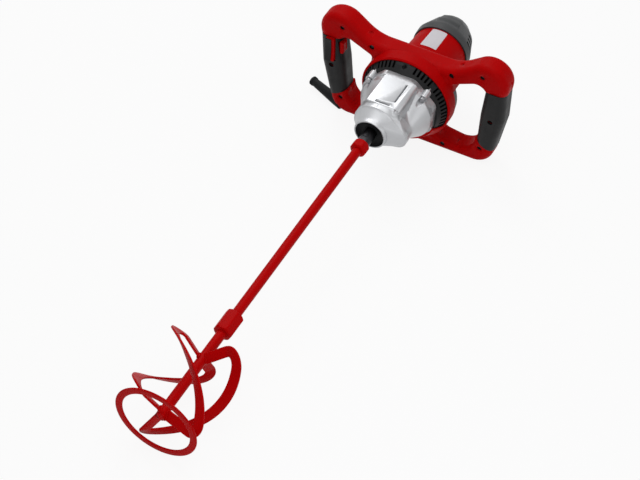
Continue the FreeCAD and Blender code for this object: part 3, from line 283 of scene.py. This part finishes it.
CARBON = Finish("pressed carbon", (0.09, 0.09, 0.09), 0.7, specular=0.3, mottle=0.1)
BRASS = Finish("bent brass", (0.78, 0.62, 0.32), 0.35, metallic=1.0, mottle=0.06)
BLANK_LABEL = Finish("blank label film", (0.84, 0.83, 0.85), 0.4, specular=0.3, grain=900,
                     grain_height=0.00002, mottle=0.015)

SLOT_FINISHES = {
    "red_plastic": RED_PLASTIC,
    "red_paint": RED_PAINT,
    "grip_rubber": GRIP_RUBBER,
    "grey_plastic": GREY_PLASTIC,
    "black_plastic": BLACK_PLASTIC,
    "black_rubber": BLACK_RUBBER,
    "cast_aluminium": CAST_ALUMINIUM,
    "steel": STEEL,
    "dark_steel": DARK_STEEL,
    "copper": COPPER,
    "laminations": LAMINATION,
    "carbon": CARBON,
    "brass": BRASS,
}


# Meshes

# Angles in degrees above which an edge stays sharp
ROUND_SHARP = 40.0
HEX_SHARP = 32.0
EDGE_SHARP = 60.0


def linked_object(name: str, data: bpy.types.ID) -> bpy.types.Object:
    """Put a mesh, a camera or a lamp into the scene as an object at the origin.

    Args:
        name: Name of the object.
        data: What the object shows.

    Returns:
        The new object.
    """
    piece = bpy.data.objects.new(name, data)
    bpy.context.scene.collection.objects.link(piece)
    return piece


def grid_faces(rows: int, columns: int, closed_rows: bool) -> np.ndarray:
    """Quads between the points of a grid whose rows are closed outlines, counted row by row.

    Args:
        rows: Number of rows.
        columns: Number of points in a row.
        closed_rows: Whether the last row joins the first.

    Returns:
        Array of four point numbers for each quad.
    """
    row = np.arange(rows if closed_rows else rows - 1)[:, None]
    column = np.arange(columns)[None, :]
    next_row = (row + 1) % rows
    next_column = (column + 1) % columns
    corners = [row * columns + column, row * columns + next_column,
               next_row * columns + next_column, next_row * columns + column]
    spread = [np.broadcast_to(corner, (row.size, column.size)) for corner in corners]
    return np.stack(spread, axis=-1).reshape(-1, 4)


def grid_piece(name: str, points: np.ndarray, closed_rows: bool, capped: bool,
               sharp_degrees: float) -> bpy.types.Object:
    """Make a piece from a grid of points in the tool's axes, with every row a closed outline.

    Args:
        name: Name of the piece.
        points: Array of rows, points in a row, and along, across and upward.
        closed_rows: Whether the last row joins the first.
        capped: Whether the first and last rows are filled.
        sharp_degrees: Angle above which an edge stays sharp.

    Returns:
        The new object.
    """
    rows, columns = points.shape[:2]
    faces = grid_faces(rows, columns, closed_rows).tolist()
    if capped:
        faces.append(list(range(columns))[::-1])
        faces.append(list(range((rows - 1) * columns, rows * columns)))
    mesh = bpy.data.meshes.new(name)
    mesh.from_pydata(AXES.placed(points).reshape(-1, 3).tolist(), [], faces)
    return linked_object(name, finished_mesh(mesh, sharp_degrees))


def finished_mesh(mesh: bpy.types.Mesh, sharp_degrees: float) -> bpy.types.Mesh:
    """Point the faces of a closed mesh outwards and smooth it up to an angle.

    Args:
        mesh: The mesh to finish.
        sharp_degrees: Angle above which an edge stays sharp.

    Returns:
        The same mesh.
    """
    work = bmesh.new()
    work.from_mesh(mesh)
    bmesh.ops.recalc_face_normals(work, faces=work.faces)
    work.to_mesh(mesh)
    work.free()
    mesh.shade_smooth()
    mesh.set_sharp_from_angle(angle=math.radians(sharp_degrees))
    return mesh


def rounded_rectangle(width: float, height: float, radius: float, steps: int) -> np.ndarray:
    """Outline of a rectangle whose corners are quarter circles.

    Args:
        width: Size along the first axis.
        height: Size along the second axis.
        radius: Radius of the corners.
        steps: Points on each corner.

    Returns:
        Array of points with two coordinates.
    """
    quarter = np.linspace(0, math.pi / 2, steps)
    angles = (np.arange(4)[:, None] * math.pi / 2 + quarter[None, :]).ravel()
    signs = np.repeat(np.array([(1, 1), (-1, 1), (-1, -1), (1, -1)], float), steps, axis=0)
    middles = signs * (np.array([width, height]) / 2 - radius)
    return middles + radius * np.stack([np.cos(angles), np.sin(angles)], axis=-1)


def unit(directions: np.ndarray) -> np.ndarray:
    """Bring directions to a length of one.

    Args:
        directions: Array whose last axis holds along, across and upward.

    Returns:
        Array of the same shape.
    """
    return directions / np.linalg.norm(directions, axis=-1, keepdims=True)


def evenly_spaced(outline: np.ndarray, count: int) -> np.ndarray:
    """Spread points evenly along a closed outline.

    Args:
        outline: Array of points, of which the last joins the first.
        count: Number of points to return.

    Returns:
        Array of that many points.
    """
    closed = np.concatenate([outline, outline[:1]])
    length = np.concatenate([[0], np.cumsum(np.linalg.norm(np.diff(closed, axis=0), axis=1))])
    even = np.arange(count) * length[-1] / count
    return np.stack([np.interp(even, length, closed[:, axis]) for axis in range(closed.shape[1])], axis=-1)


def revolved(profile: np.ndarray, steps: int, across: float = 0.0, upward: float = 0.0) -> np.ndarray:
    """Grid of a profile turned about an axis along the spindle's direction.

    Args:
        profile: Array of (along, radius) points.
        steps: Number of places of the profile round the axis.
        across: Place of the axis across the tool.
        upward: Place of the axis above the spindle.

    Returns:
        Grid of profile points by steps, in the tool's axes.
    """
    angle = np.arange(steps) * TURN / steps
    along = np.broadcast_to(profile[:, :1], (len(profile), steps))
    radius = profile[:, 1:]
    return np.stack([along, across + radius * np.cos(angle), upward + radius * np.sin(angle)], axis=-1)


def dress(piece: bpy.types.Object, body: Body, finish: Finish, slot: str, *nodes: str) -> None:
    """Give a new piece its finish, its body and the nodes that it stands for.

    Args:
        piece: The new piece.
        body: Body that it moves with.
        finish: Its finish.
        slot: Material slot of the record; not used.
        *nodes: Nodes that it takes the place of.
    """
    piece.data.materials.clear()
    piece.data.materials.append(finish.material())
    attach(piece, body.value)
    if nodes:
        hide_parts(*nodes)
    LOG.info("%s rides on %s", piece.name, body.value)


# Pieces taken from the frame

class FramePieces:
    """Nodes of the frame: a finish for each, and smoothly shaded copies of those that show.

    Args:
        sharp_degrees: Angle above which an edge of a copy stays sharp.
        merge_distance: Points closer than this become one.
    """

    SHOWN = (
        "front_handle_shell", "rear_handle_shell", "left_side_panel", "right_side_panel",
        "left_grip_front", "left_grip_rear", "right_grip_front", "right_grip_rear",
        "gear_case", "vent_ring", "motor_housing", "rear_cap", "strain_relief",
        "spindle", "spindle_seal", "trigger", "trigger_cover", "lock_button",
        "shell_screws", "gear_case_screws", "rear_cap_screws", "lower_rod",
    )

    def __init__(self, sharp_degrees: float = 27.0, merge_distance: float = 0.000005) -> None:
        self.sharp_degrees = sharp_degrees
        self.merge_distance = merge_distance
        self.slots = {part["node"]: part["material_slot"] for part in frame["record"]["subparts"]}
        bodies = frame["record"]["behaviour"]["bodies"]
        self.bodies = {node: Body(body) for body, nodes in bodies.items() for node in nodes}

    def build(self) -> None:
        """Dress every node, then make the smooth copies."""
        for name, node in frame["nodes"].items():
            node.data.materials.clear()
            node.data.materials.append(SLOT_FINISHES[self.slots[name]].material())
        for name in self.SHOWN:
            self.smooth_copy(name)

    def smooth_copy(self, name: str) -> None:
        """Put a merged and smoothly shaded copy of a node's triangles in the node's place.

        Args:
            name: Name of the node.
        """
        mesh = frame["nodes"][name].data.copy()
        mesh.name = f"{name}_surface"
        work = bmesh.new()
        work.from_mesh(mesh)
        bmesh.ops.remove_doubles(work, verts=work.verts, dist=self.merge_distance)
        work.to_mesh(mesh)
        work.free()
        mesh.shade_smooth()
        mesh.set_sharp_from_angle(angle=math.radians(self.sharp_degrees))
        piece = linked_object(f"{name}_surface", mesh)
        piece.modifiers.new("flat faces stay flat", "WEIGHTED_NORMAL").keep_sharp = True
        slot = self.slots[name]
        dress(piece, self.bodies[name], SLOT_FINISHES[slot], slot, name)


# Paddle

@dataclass
class Paddle:
    """Stirring paddle: rod with its hex collar, coupling sleeve, twisted blades and foot ring.

    Lengths lie in the tool's axes. The counts of sides, rows and points set how fine the meshes are, and a
    share is a part of the size that it shapes.
    """

    rod_radius: float = 0.007
    rod_top: float = -0.0215
    collar_length: float = 0.016
    collar_flats: float = 0.023
    collar_round: float = 0.0065
    stud_radius: float = 0.006
    stud_length: float = 0.022
    upper_rod_length: float = 0.378
    coupling_length: float = 0.036
    coupling_flats: float = 0.0245
    coupling_round: float = 0.0045
    foot: float = -0.5825
    ring_radius: float = 0.060
    ring_band: float = 0.010
    ring_thick: float = 0.0025
    blade_count: int = 3
    blade_width: float = 0.0145
    blade_thick: float = 0.003
    blade_edge: float = 0.0009
    rim_radius: float = 0.0538
    attach_height: float = 0.117
    top_height: float = 0.137
    foot_height: float = 0.018
    sink: float = 0.0033
    top_corner: float = 0.0155
    low_corner: float = 0.0085
    twist_degrees: float = 155.0
    first_degrees: float = 147.0
    bead_radius: float = 0.0014
    bead_ripple: float = 0.14
    bead_turns: int = 20
    rod_sides: int = 48
    hex_sides: int = 96
    hex_power: float = 30.0
    hex_end_rows: int = 9
    hex_end_share: float = 0.8
    ring_sides: int = 128
    ring_edge_share: float = 0.4
    ring_edge_points: int = 5
    blade_rows: int = 181
    blade_corner_points: int = 25
    blade_edge_points: int = 4
    bead_points: int = 120
    bead_sides: int = 10
    bead_corner_share: float = 0.45
    bead_corner_points: int = 6
    bead_rise_share: float = 0.3

    def build(self) -> None:
        """Make and dress every piece of the paddle."""
        self.paint(self.upper_rod(), "upper_rod")
        collar_low = self.rod_top - self.collar_length
        self.paint(self.hex_bar("rod_collar", self.collar_flats, collar_low, self.rod_top, self.collar_round))
        middle = self.rod_top - self.upper_rod_length
        half = self.coupling_length / 2
        coupling = self.hex_bar("coupling_bar", self.coupling_flats, middle - half, middle + half,
                                self.coupling_round)
        self.paint(coupling, "coupling_sleeve")
        self.paint(self.foot_ring(), "foot_ring")
        for number in range(self.blade_count):
            self.paint(self.blade(number), f"blade_{number + 1}")
            for lower in (False, True):
                self.paint(self.weld_bead(number, lower))

    @staticmethod
    def paint(piece: bpy.types.Object, *nodes: str) -> None:
        """Dress a piece of the paddle in red paint.

        Args:
            piece: The new piece.
            *nodes: Nodes that it takes the place of.
        """
        dress(piece, Body.SPINDLE, RED_PAINT, Slot.RED_PAINT, *nodes)

    def upper_rod(self) -> bpy.types.Object:
        """Rod and stud as one turned profile: the rod up to the collar, then the thinner stud.

        Returns:
            The new rod.
        """
        profile = np.array([
            (self.rod_top - self.upper_rod_length, self.rod_radius),
            (self.rod_top, self.rod_radius),
            (self.rod_top, self.stud_radius),
            (self.rod_top + self.stud_length, self.stud_radius),
        ])
        return grid_piece("upper_rod_bar", revolved(profile, self.rod_sides), False, True, ROUND_SHARP)

    def hex_bar(self, name: str, flats: float, start: float, end: float, rounding: float) -> bpy.types.Object:
        """Hexagonal bar with softened corners and rounded ends.

        The radius at an angle is the lesser of a smooth hexagon, a sum of high powers of three cosines, and a
        quarter ellipse that comes in at both ends.

        Args:
            name: Name of the piece.
            flats: Width across flats.
            start: Lower end along the tool.
            end: Upper end along the tool.
            rounding: Length of each rounded end.

        Returns:
            The new bar.
        """
        angle = np.arange(self.hex_sides) * TURN / self.hex_sides
        sides = np.abs(np.cos(angle[None, :] - np.arange(3)[:, None] * math.pi / 3 - math.pi / 2))
        hexagon = flats / 2 / np.sum(sides**self.hex_power, axis=0) ** (1 / self.hex_power)
        turn = np.linspace(0, math.pi / 2, self.hex_end_rows)
        ease = rounding * (1 - np.cos(turn))
        along = np.concatenate([start + ease, end - ease[::-1]])
        corner = flats / math.sqrt(3)
        inset = (corner - self.rod_radius) * self.hex_end_share * (1 - np.sin(turn))
        limit = corner - np.concatenate([inset, inset[::-1]])
        radius = np.minimum(hexagon[None, :], limit[:, None])
        points = np.stack([np.broadcast_to(along[:, None], radius.shape), radius * np.cos(angle),
                           radius * np.sin(angle)], axis=-1)
        return grid_piece(name, points, False, True, HEX_SHARP)

    def foot_ring(self) -> bpy.types.Object:
        """Flat ring with rounded edges: a rounded rectangle turned about the spindle.

        Returns:
            The new ring.
        """
        edge = self.ring_thick * self.ring_edge_share
        outline = rounded_rectangle(self.ring_thick, self.ring_band, edge, self.ring_edge_points)
        outline = outline + np.array([self.foot + self.ring_thick / 2, self.ring_radius - self.ring_band / 2])
        points = revolved(outline, self.ring_sides).transpose(1, 0, 2)
        return grid_piece("foot_ring_band", points, True, False, EDGE_SHARP)

    def blade_line(self) -> np.ndarray:
        """Middle line of a blade as (height above the foot, radius): three straight arms with round corners.

        Returns:
            Array of points, evenly spaced along the line.
        """
        start = self.rod_radius - self.blade_thick / 2
        low = self.ring_thick + self.blade_width / 2 - self.sink
        corners = np.array([
            (self.attach_height, start),
            (self.top_height, self.rim_radius),
            (low, self.rim_radius),
            (self.foot_height, start),
        ])
        pieces = [corners[:1]]
        rounds = (self.top_corner, self.low_corner)
        for before, corner, after, rounding in zip(corners, corners[1:], corners[2:], rounds):
            back = (before - corner) / np.linalg.norm(before - corner)
            onward = (after - corner) / np.linalg.norm(after - corner)
            bend = math.acos(float(back @ onward))
            middle = (back + onward) / np.linalg.norm(back + onward)
            centre = corner + middle * rounding / math.sin(bend / 2)
            reach = rounding / math.tan(bend / 2)
            first = corner + back * reach - centre
            last = corner + onward * reach - centre
            sweep = math.pi - bend
            share = np.linspace(0, 1, self.blade_corner_points)[:, None]
            arc = np.sin((1 - share) * sweep) * first + np.sin(share * sweep) * last
            pieces.append(centre + arc / math.sin(sweep))
        line = np.concatenate(pieces + [corners[-1:]])
        length = np.concatenate([[0], np.cumsum(np.linalg.norm(np.diff(line, axis=0), axis=1))])
        even = np.linspace(0, length[-1], self.blade_rows)
        return np.stack([np.interp(even, length, line[:, axis]) for axis in (0, 1)], axis=-1)

    def blade_frames(self, number: int) -> tuple[np.ndarray, np.ndarray, np.ndarray]:
        """Middle line of a blade, with the directions of its width and of its thickness.

        On the rim the angle is first + pitch * (top - height), and on the two arms it stays as it is at the
        rim's ends. The flat side follows the screw surface of the rim.

        Args:
            number: Number of the blade, from zero.

        Returns:
            Points, width directions and thickness directions along the blade, in the tool's axes.
        """
        line = self.blade_line()
        height, radius = line[:, 0], line[:, 1]
        top, low = int(np.argmax(height)), int(np.argmin(height))
        wound = height[np.clip(np.arange(len(height)), top, low)]
        pitch = math.radians(self.twist_degrees) / (height[top] - height[low])
        first = math.radians(self.first_degrees) + number * TURN / self.blade_count
        angle = first + pitch * (height[top] - wound)
        still = np.zeros_like(angle)
        outward = np.stack([still, np.cos(angle), np.sin(angle)], axis=-1)
        around = np.stack([still, -np.sin(angle), np.cos(angle)], axis=-1)
        middle = ALONG * (self.foot + height)[:, None] + outward * radius[:, None]
        heading = np.gradient(middle, axis=0)
        facing = np.cross(ALONG - around * (self.rim_radius * pitch), outward)
        side = unit(np.cross(facing, heading))
        return middle, side, unit(np.cross(heading, side))

    def blade(self, number: int) -> bpy.types.Object:
        """Strip along the blade's line: a rounded rectangle carried along upper arm, rim and lower arm.

        Args:
            number: Number of the blade, from zero.

        Returns:
            The new blade.
        """
        middle, side, flat = self.blade_frames(number)
        outline = rounded_rectangle(self.blade_width, self.blade_thick, self.blade_edge,
                                    self.blade_edge_points)
        points = (middle[:, None, :] + side[:, None, :] * outline[None, :, :1]
                  + flat[:, None, :] * outline[None, :, 1:])
        return grid_piece(f"blade_{number + 1}_strip", points, False, True, EDGE_SHARP)

    def weld_bead(self, number: int, lower: bool) -> bpy.types.Object:
        """Weld round the root of a blade's arm: a rippled tube along the arm's outline, drawn in to the rod.

        The tube's radius is bead_radius * (1 + ripple * cos(turns round the path)).

        Args:
            number: Number of the blade, from zero.
            lower: Whether it is the lower arm.

        Returns:
            The new bead.
        """
        middle, side, flat = self.blade_frames(number)
        outside = np.flatnonzero(np.linalg.norm(middle[:, 1:], axis=1) > self.rod_radius)
        root = outside[-1] if lower else outside[0]
        height = self.blade_thick + self.bead_radius
        corner = height * self.bead_corner_share
        outline = rounded_rectangle(self.blade_width, height, corner, self.bead_corner_points)
        outline = evenly_spaced(outline, self.bead_points)
        path = middle[root] + side[root] * outline[:, :1] + flat[root] * outline[:, 1:]
        upright = unit(path * OFF_AXIS)
        path = path * ALONG + upright * (self.rod_radius + self.bead_radius * self.bead_rise_share)
        sideways = unit(np.cross(np.roll(path, -1, axis=0) - np.roll(path, 1, axis=0), upright))
        turn = np.arange(self.bead_sides) * TURN / self.bead_sides
        ripple = 1 + self.bead_ripple * np.cos(np.arange(len(path)) * TURN * self.bead_turns / len(path))
        size = self.bead_radius * ripple[:, None, None]
        points = path[:, None, :] + size * (upright[:, None, :] * np.cos(turn)[None, :, None]
                                            + sideways[:, None, :] * np.sin(turn)[None, :, None])
        end = "lower" if lower else "upper"
        return grid_piece(f"blade_{number + 1}_{end}_weld", points, True, False, EDGE_SHARP)


# Motor

@dataclass
class MotorLabel:
    """Blank label film on the sloping side of the motor housing."""

    axis_drop: float = 0.0236
    cone_start: float = 0.166
    cone_start_radius: float = 0.0465
    cone_end: float = 0.231
    cone_end_radius: float = 0.042
    first_along: float = 0.1845
    last_along: float = 0.227
    middle_degrees: float = 91.0
    half_degrees: float = 16.5
    corner: float = 0.0015
    thick: float = 0.0002
    corner_points: int = 5
    outline_points: int = 120
    rings: int = 10
    inner_share: float = 0.1

    def build(self) -> None:
        """Make and dress the label."""
        dress(self.film(), Body.TOOL, BLANK_LABEL, Slot.GREY_PLASTIC)

    def film(self) -> bpy.types.Object:
        """Patch of the housing's cone, in rings that grow from its middle, lifted by its own thickness.

        A last row as far below the cone as the film is thick closes it with a rim.

        Returns:
            The new label.
        """
        arc = 2 * math.radians(self.half_degrees) * self.cone_end_radius
        outline = rounded_rectangle(self.last_along - self.first_along, arc, self.corner, self.corner_points)
        outline = evenly_spaced(outline, self.outline_points)
        share = np.concatenate([np.linspace(self.inner_share, 1, self.rings), [1.0]])
        flat = outline[None, :, :] * share[:, None, None]
        along = (self.first_along + self.last_along) / 2 + flat[..., 0]
        angle = math.radians(self.middle_degrees) + flat[..., 1] / self.cone_end_radius
        slope = (self.cone_end_radius - self.cone_start_radius) / (self.cone_end - self.cone_start)
        lift = np.where(np.arange(len(share)) < len(share) - 1, self.thick, -self.thick)[:, None]
        radius = self.cone_start_radius + slope * (along - self.cone_start) + lift
        points = np.stack([along, radius * np.cos(angle), radius * np.sin(angle) - self.axis_drop], axis=-1)
        return grid_piece("motor_label", points, False, True, ROUND_SHARP)


# Handle frame

@dataclass
class ScrewWellShade:
    """Painted shade: a black tube in the counterbore of every shell screw, round the screw's head, so that the
    hole shows dark as if in deep shadow.
    """

    places: tuple[tuple[float, float], ...] = (
        (0.065, 0.034),
        (0.1135, 0.052),
        (0.1165, -0.089),
        (0.056, -0.108),
        (0.131, -0.027),
    )
    front: float = 0.1322
    seat: float = 0.13595
    inner_radius: float = 0.00368
    outer_radius: float = 0.00406
    edge_share: float = 0.4
    edge_points: int = 3
    sides: int = 40

    def build(self) -> None:
        """Make and dress a painted-shade tube on both sides of the frame for every place."""
        for number, (across, upward) in enumerate(self.places, 1):
            for side, sign in (("left", 1), ("right", -1)):
                painted_shade_tube = self.painted_shade_tube(f"{side}_screw_well_shade_{number}", sign * across, upward)
                # The black finish here is painted shade: it stands for the shadow deep in the screw hole.
                dress(painted_shade_tube, Body.TOOL, BLACK_PLASTIC, Slot.BLACK_PLASTIC)

    def painted_shade_tube(self, name: str, across: float, upward: float) -> bpy.types.Object:
        """Short tube of painted shade: a rounded rectangle turned about the screw's axis.

        Args:
            name: Name of the piece.
            across: Place of the screw across the tool.
            upward: Place of the screw above the spindle.

        Returns:
            The new painted-shade tube.
        """
        wall = self.outer_radius - self.inner_radius
        outline = rounded_rectangle(self.seat - self.front, wall, wall * self.edge_share, self.edge_points)
        middle = np.array([self.front + self.seat, self.inner_radius + self.outer_radius]) / 2
        points = revolved(outline + middle, self.sides, across, upward).transpose(1, 0, 2)
        return grid_piece(name, points, True, False, EDGE_SHARP)


# Studio

@dataclass(frozen=True)
class Lamp:
    """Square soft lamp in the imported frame.

    Args:
        name: Name of the lamp.
        place: Where it hangs.
        target: What it points at.
        size: Side of the square.
        power: Power in watts.
    """

    name: str
    place: Triple
    target: Triple
    size: float
    power: float

    def build(self) -> None:
        """Hang the lamp and point it at its target."""
        data = bpy.data.lights.new(self.name, "AREA")
        data.size = self.size
        data.energy = self.power
        piece = linked_object(self.name, data)
        piece.location = self.place
        heading = Vector(self.target) - Vector(self.place)
        piece.rotation_euler = heading.to_track_quat("-Z", "Y").to_euler()


LAMPS = (
    Lamp("overhead", place=(0.0, 0.0, 2.4), target=(0.0, 0.0, 0.1), size=2.2, power=21.0),
    Lamp("left_key", place=(1.1, 1.0, 1.9), target=(0.1, 0.0, 0.1), size=1.0, power=11.0),
    Lamp("front_fill", place=(-1.15, -0.75, 0.75), target=(-0.43, 0.0, 0.08), size=0.8, power=3.4),
    Lamp("right_fill", place=(0.6, -2.2, 0.9), target=(0.2, 0.0, 0.1), size=1.2, power=3.0),
)


@dataclass
class Studio:
    """White floor, pale sky, lamps, and a camera at the photograph's angle in the tool's own axes."""

    camera_place: Triple = (-1.8417, -0.9367, 2.0616)
    camera_forward: Triple = (0.5867, 0.3246, -0.7419)
    camera_up: Triple = (0.6542, 0.3499, 0.6705)
    focal_length_pixels: float = 2039.0
    picture_width_pixels: float = 640.0
    sensor_width: float = 36.0
    clip_end: float = 100.0
    floor_size: float = 60.0
    floor_grey: float = 0.85
    floor_roughness: float = 0.9
    floor_specular: float = 0.1
    floor_glow: float = 0.9
    sky_strength: float = 0.28

    def build(self) -> None:
        """Make camera, floor, sky and lamps."""
        bpy.context.scene.view_settings.view_transform = "Standard"
        self.camera()
        self.floor()
        self.sky()
        for lamp in LAMPS:
            lamp.build()

    def camera(self) -> None:
        """Set the camera from its place and directions."""
        data = bpy.data.cameras.new("camera")
        data.sensor_width = self.sensor_width
        data.lens = self.focal_length_pixels / self.picture_width_pixels * self.sensor_width
        data.clip_end = self.clip_end
        piece = linked_object("camera", data)
        back = -Vector(AXES.turned(self.camera_forward)).normalized()
        right = Vector(AXES.turned(self.camera_up)).cross(back).normalized()
        upward = back.cross(right)
        matrix = Matrix((right, upward, back)).transposed().to_4x4()
        matrix.translation = Vector(AXES.placed(self.camera_place))
        piece.matrix_world = matrix
        bpy.context.scene.camera = piece

    def floor(self) -> bpy.types.Object:
        """Level white floor that shows white to the camera and keeps a soft shadow.

        Returns:
            The floor.
        """
        half = self.floor_size / 2
        mesh = bpy.data.meshes.new("floor")
        corners = [(-half, -half, 0), (half, -half, 0), (half, half, 0), (-half, half, 0)]
        mesh.from_pydata(corners, [], [(0, 1, 2, 3)])
        material = bpy.data.materials.new("white floor")
        material.use_nodes = True
        tree = material.node_tree
        shader = tree.nodes["Principled BSDF"]
        shader.inputs["Base Color"].default_value = (self.floor_grey, self.floor_grey, self.floor_grey, 1)
        shader.inputs["Roughness"].default_value = self.floor_roughness
        shader.inputs["Specular IOR Level"].default_value = self.floor_specular
        glow = tree.nodes.new("ShaderNodeEmission")
        mix = tree.nodes.new("ShaderNodeMixShader")
        share = tree.nodes.new("ShaderNodeMath")
        share.operation = "MULTIPLY"
        share.inputs[1].default_value = self.floor_glow
        tree.links.new(seen_directly(tree), share.inputs[0])
        tree.links.new(share.outputs[0], mix.inputs["Fac"])
        tree.links.new(shader.outputs["BSDF"], mix.inputs[1])
        tree.links.new(glow.outputs["Emission"], mix.inputs[2])
        tree.links.new(mix.outputs["Shader"], tree.nodes["Material Output"].inputs["Surface"])
        mesh.materials.append(material)
        return linked_object("floor", mesh)

    def sky(self) -> None:
        """Even pale sky that lights the tool and shows white to the camera."""
        world = bpy.data.worlds.new("sky")
        world.use_nodes = True
        tree = world.node_tree
        background = tree.nodes["Background"]
        background.inputs["Color"].default_value = (1, 1, 1, 1)
        strength = tree.nodes.new("ShaderNodeMapRange")
        strength.inputs["To Min"].default_value = self.sky_strength
        strength.inputs["To Max"].default_value = 1.0
        tree.links.new(seen_directly(tree), strength.inputs["Value"])
        tree.links.new(strength.outputs["Result"], background.inputs["Strength"])
        bpy.context.scene.world = world


def seen_directly(tree: bpy.types.NodeTree) -> bpy.types.NodeSocket:
    """Add a test for rays from the camera, glossy reflections and rays that pass through a surface.

    Args:
        tree: Node tree to add to.

    Returns:
        Socket that is 1 for such rays and 0 for others.
    """
    path = tree.nodes.new("ShaderNodeLightPath")
    total = path.outputs["Is Camera Ray"]
    for name in ("Is Glossy Ray", "Is Transmission Ray"):
        larger = tree.nodes.new("ShaderNodeMath")
        larger.operation = "MAXIMUM"
        tree.links.new(total, larger.inputs[0])
        tree.links.new(path.outputs[name], larger.inputs[1])
        total = larger.outputs[0]
    return total


def main() -> None:
    """Build every part of the scene in order."""
    logging.basicConfig(level=logging.INFO, format="%(name)s: %(message)s")
    FramePieces().build()
    Paddle().build()
    MotorLabel().build()
    ScrewWellShade().build()
    Studio().build()


if __name__ == "__main__":
    main()
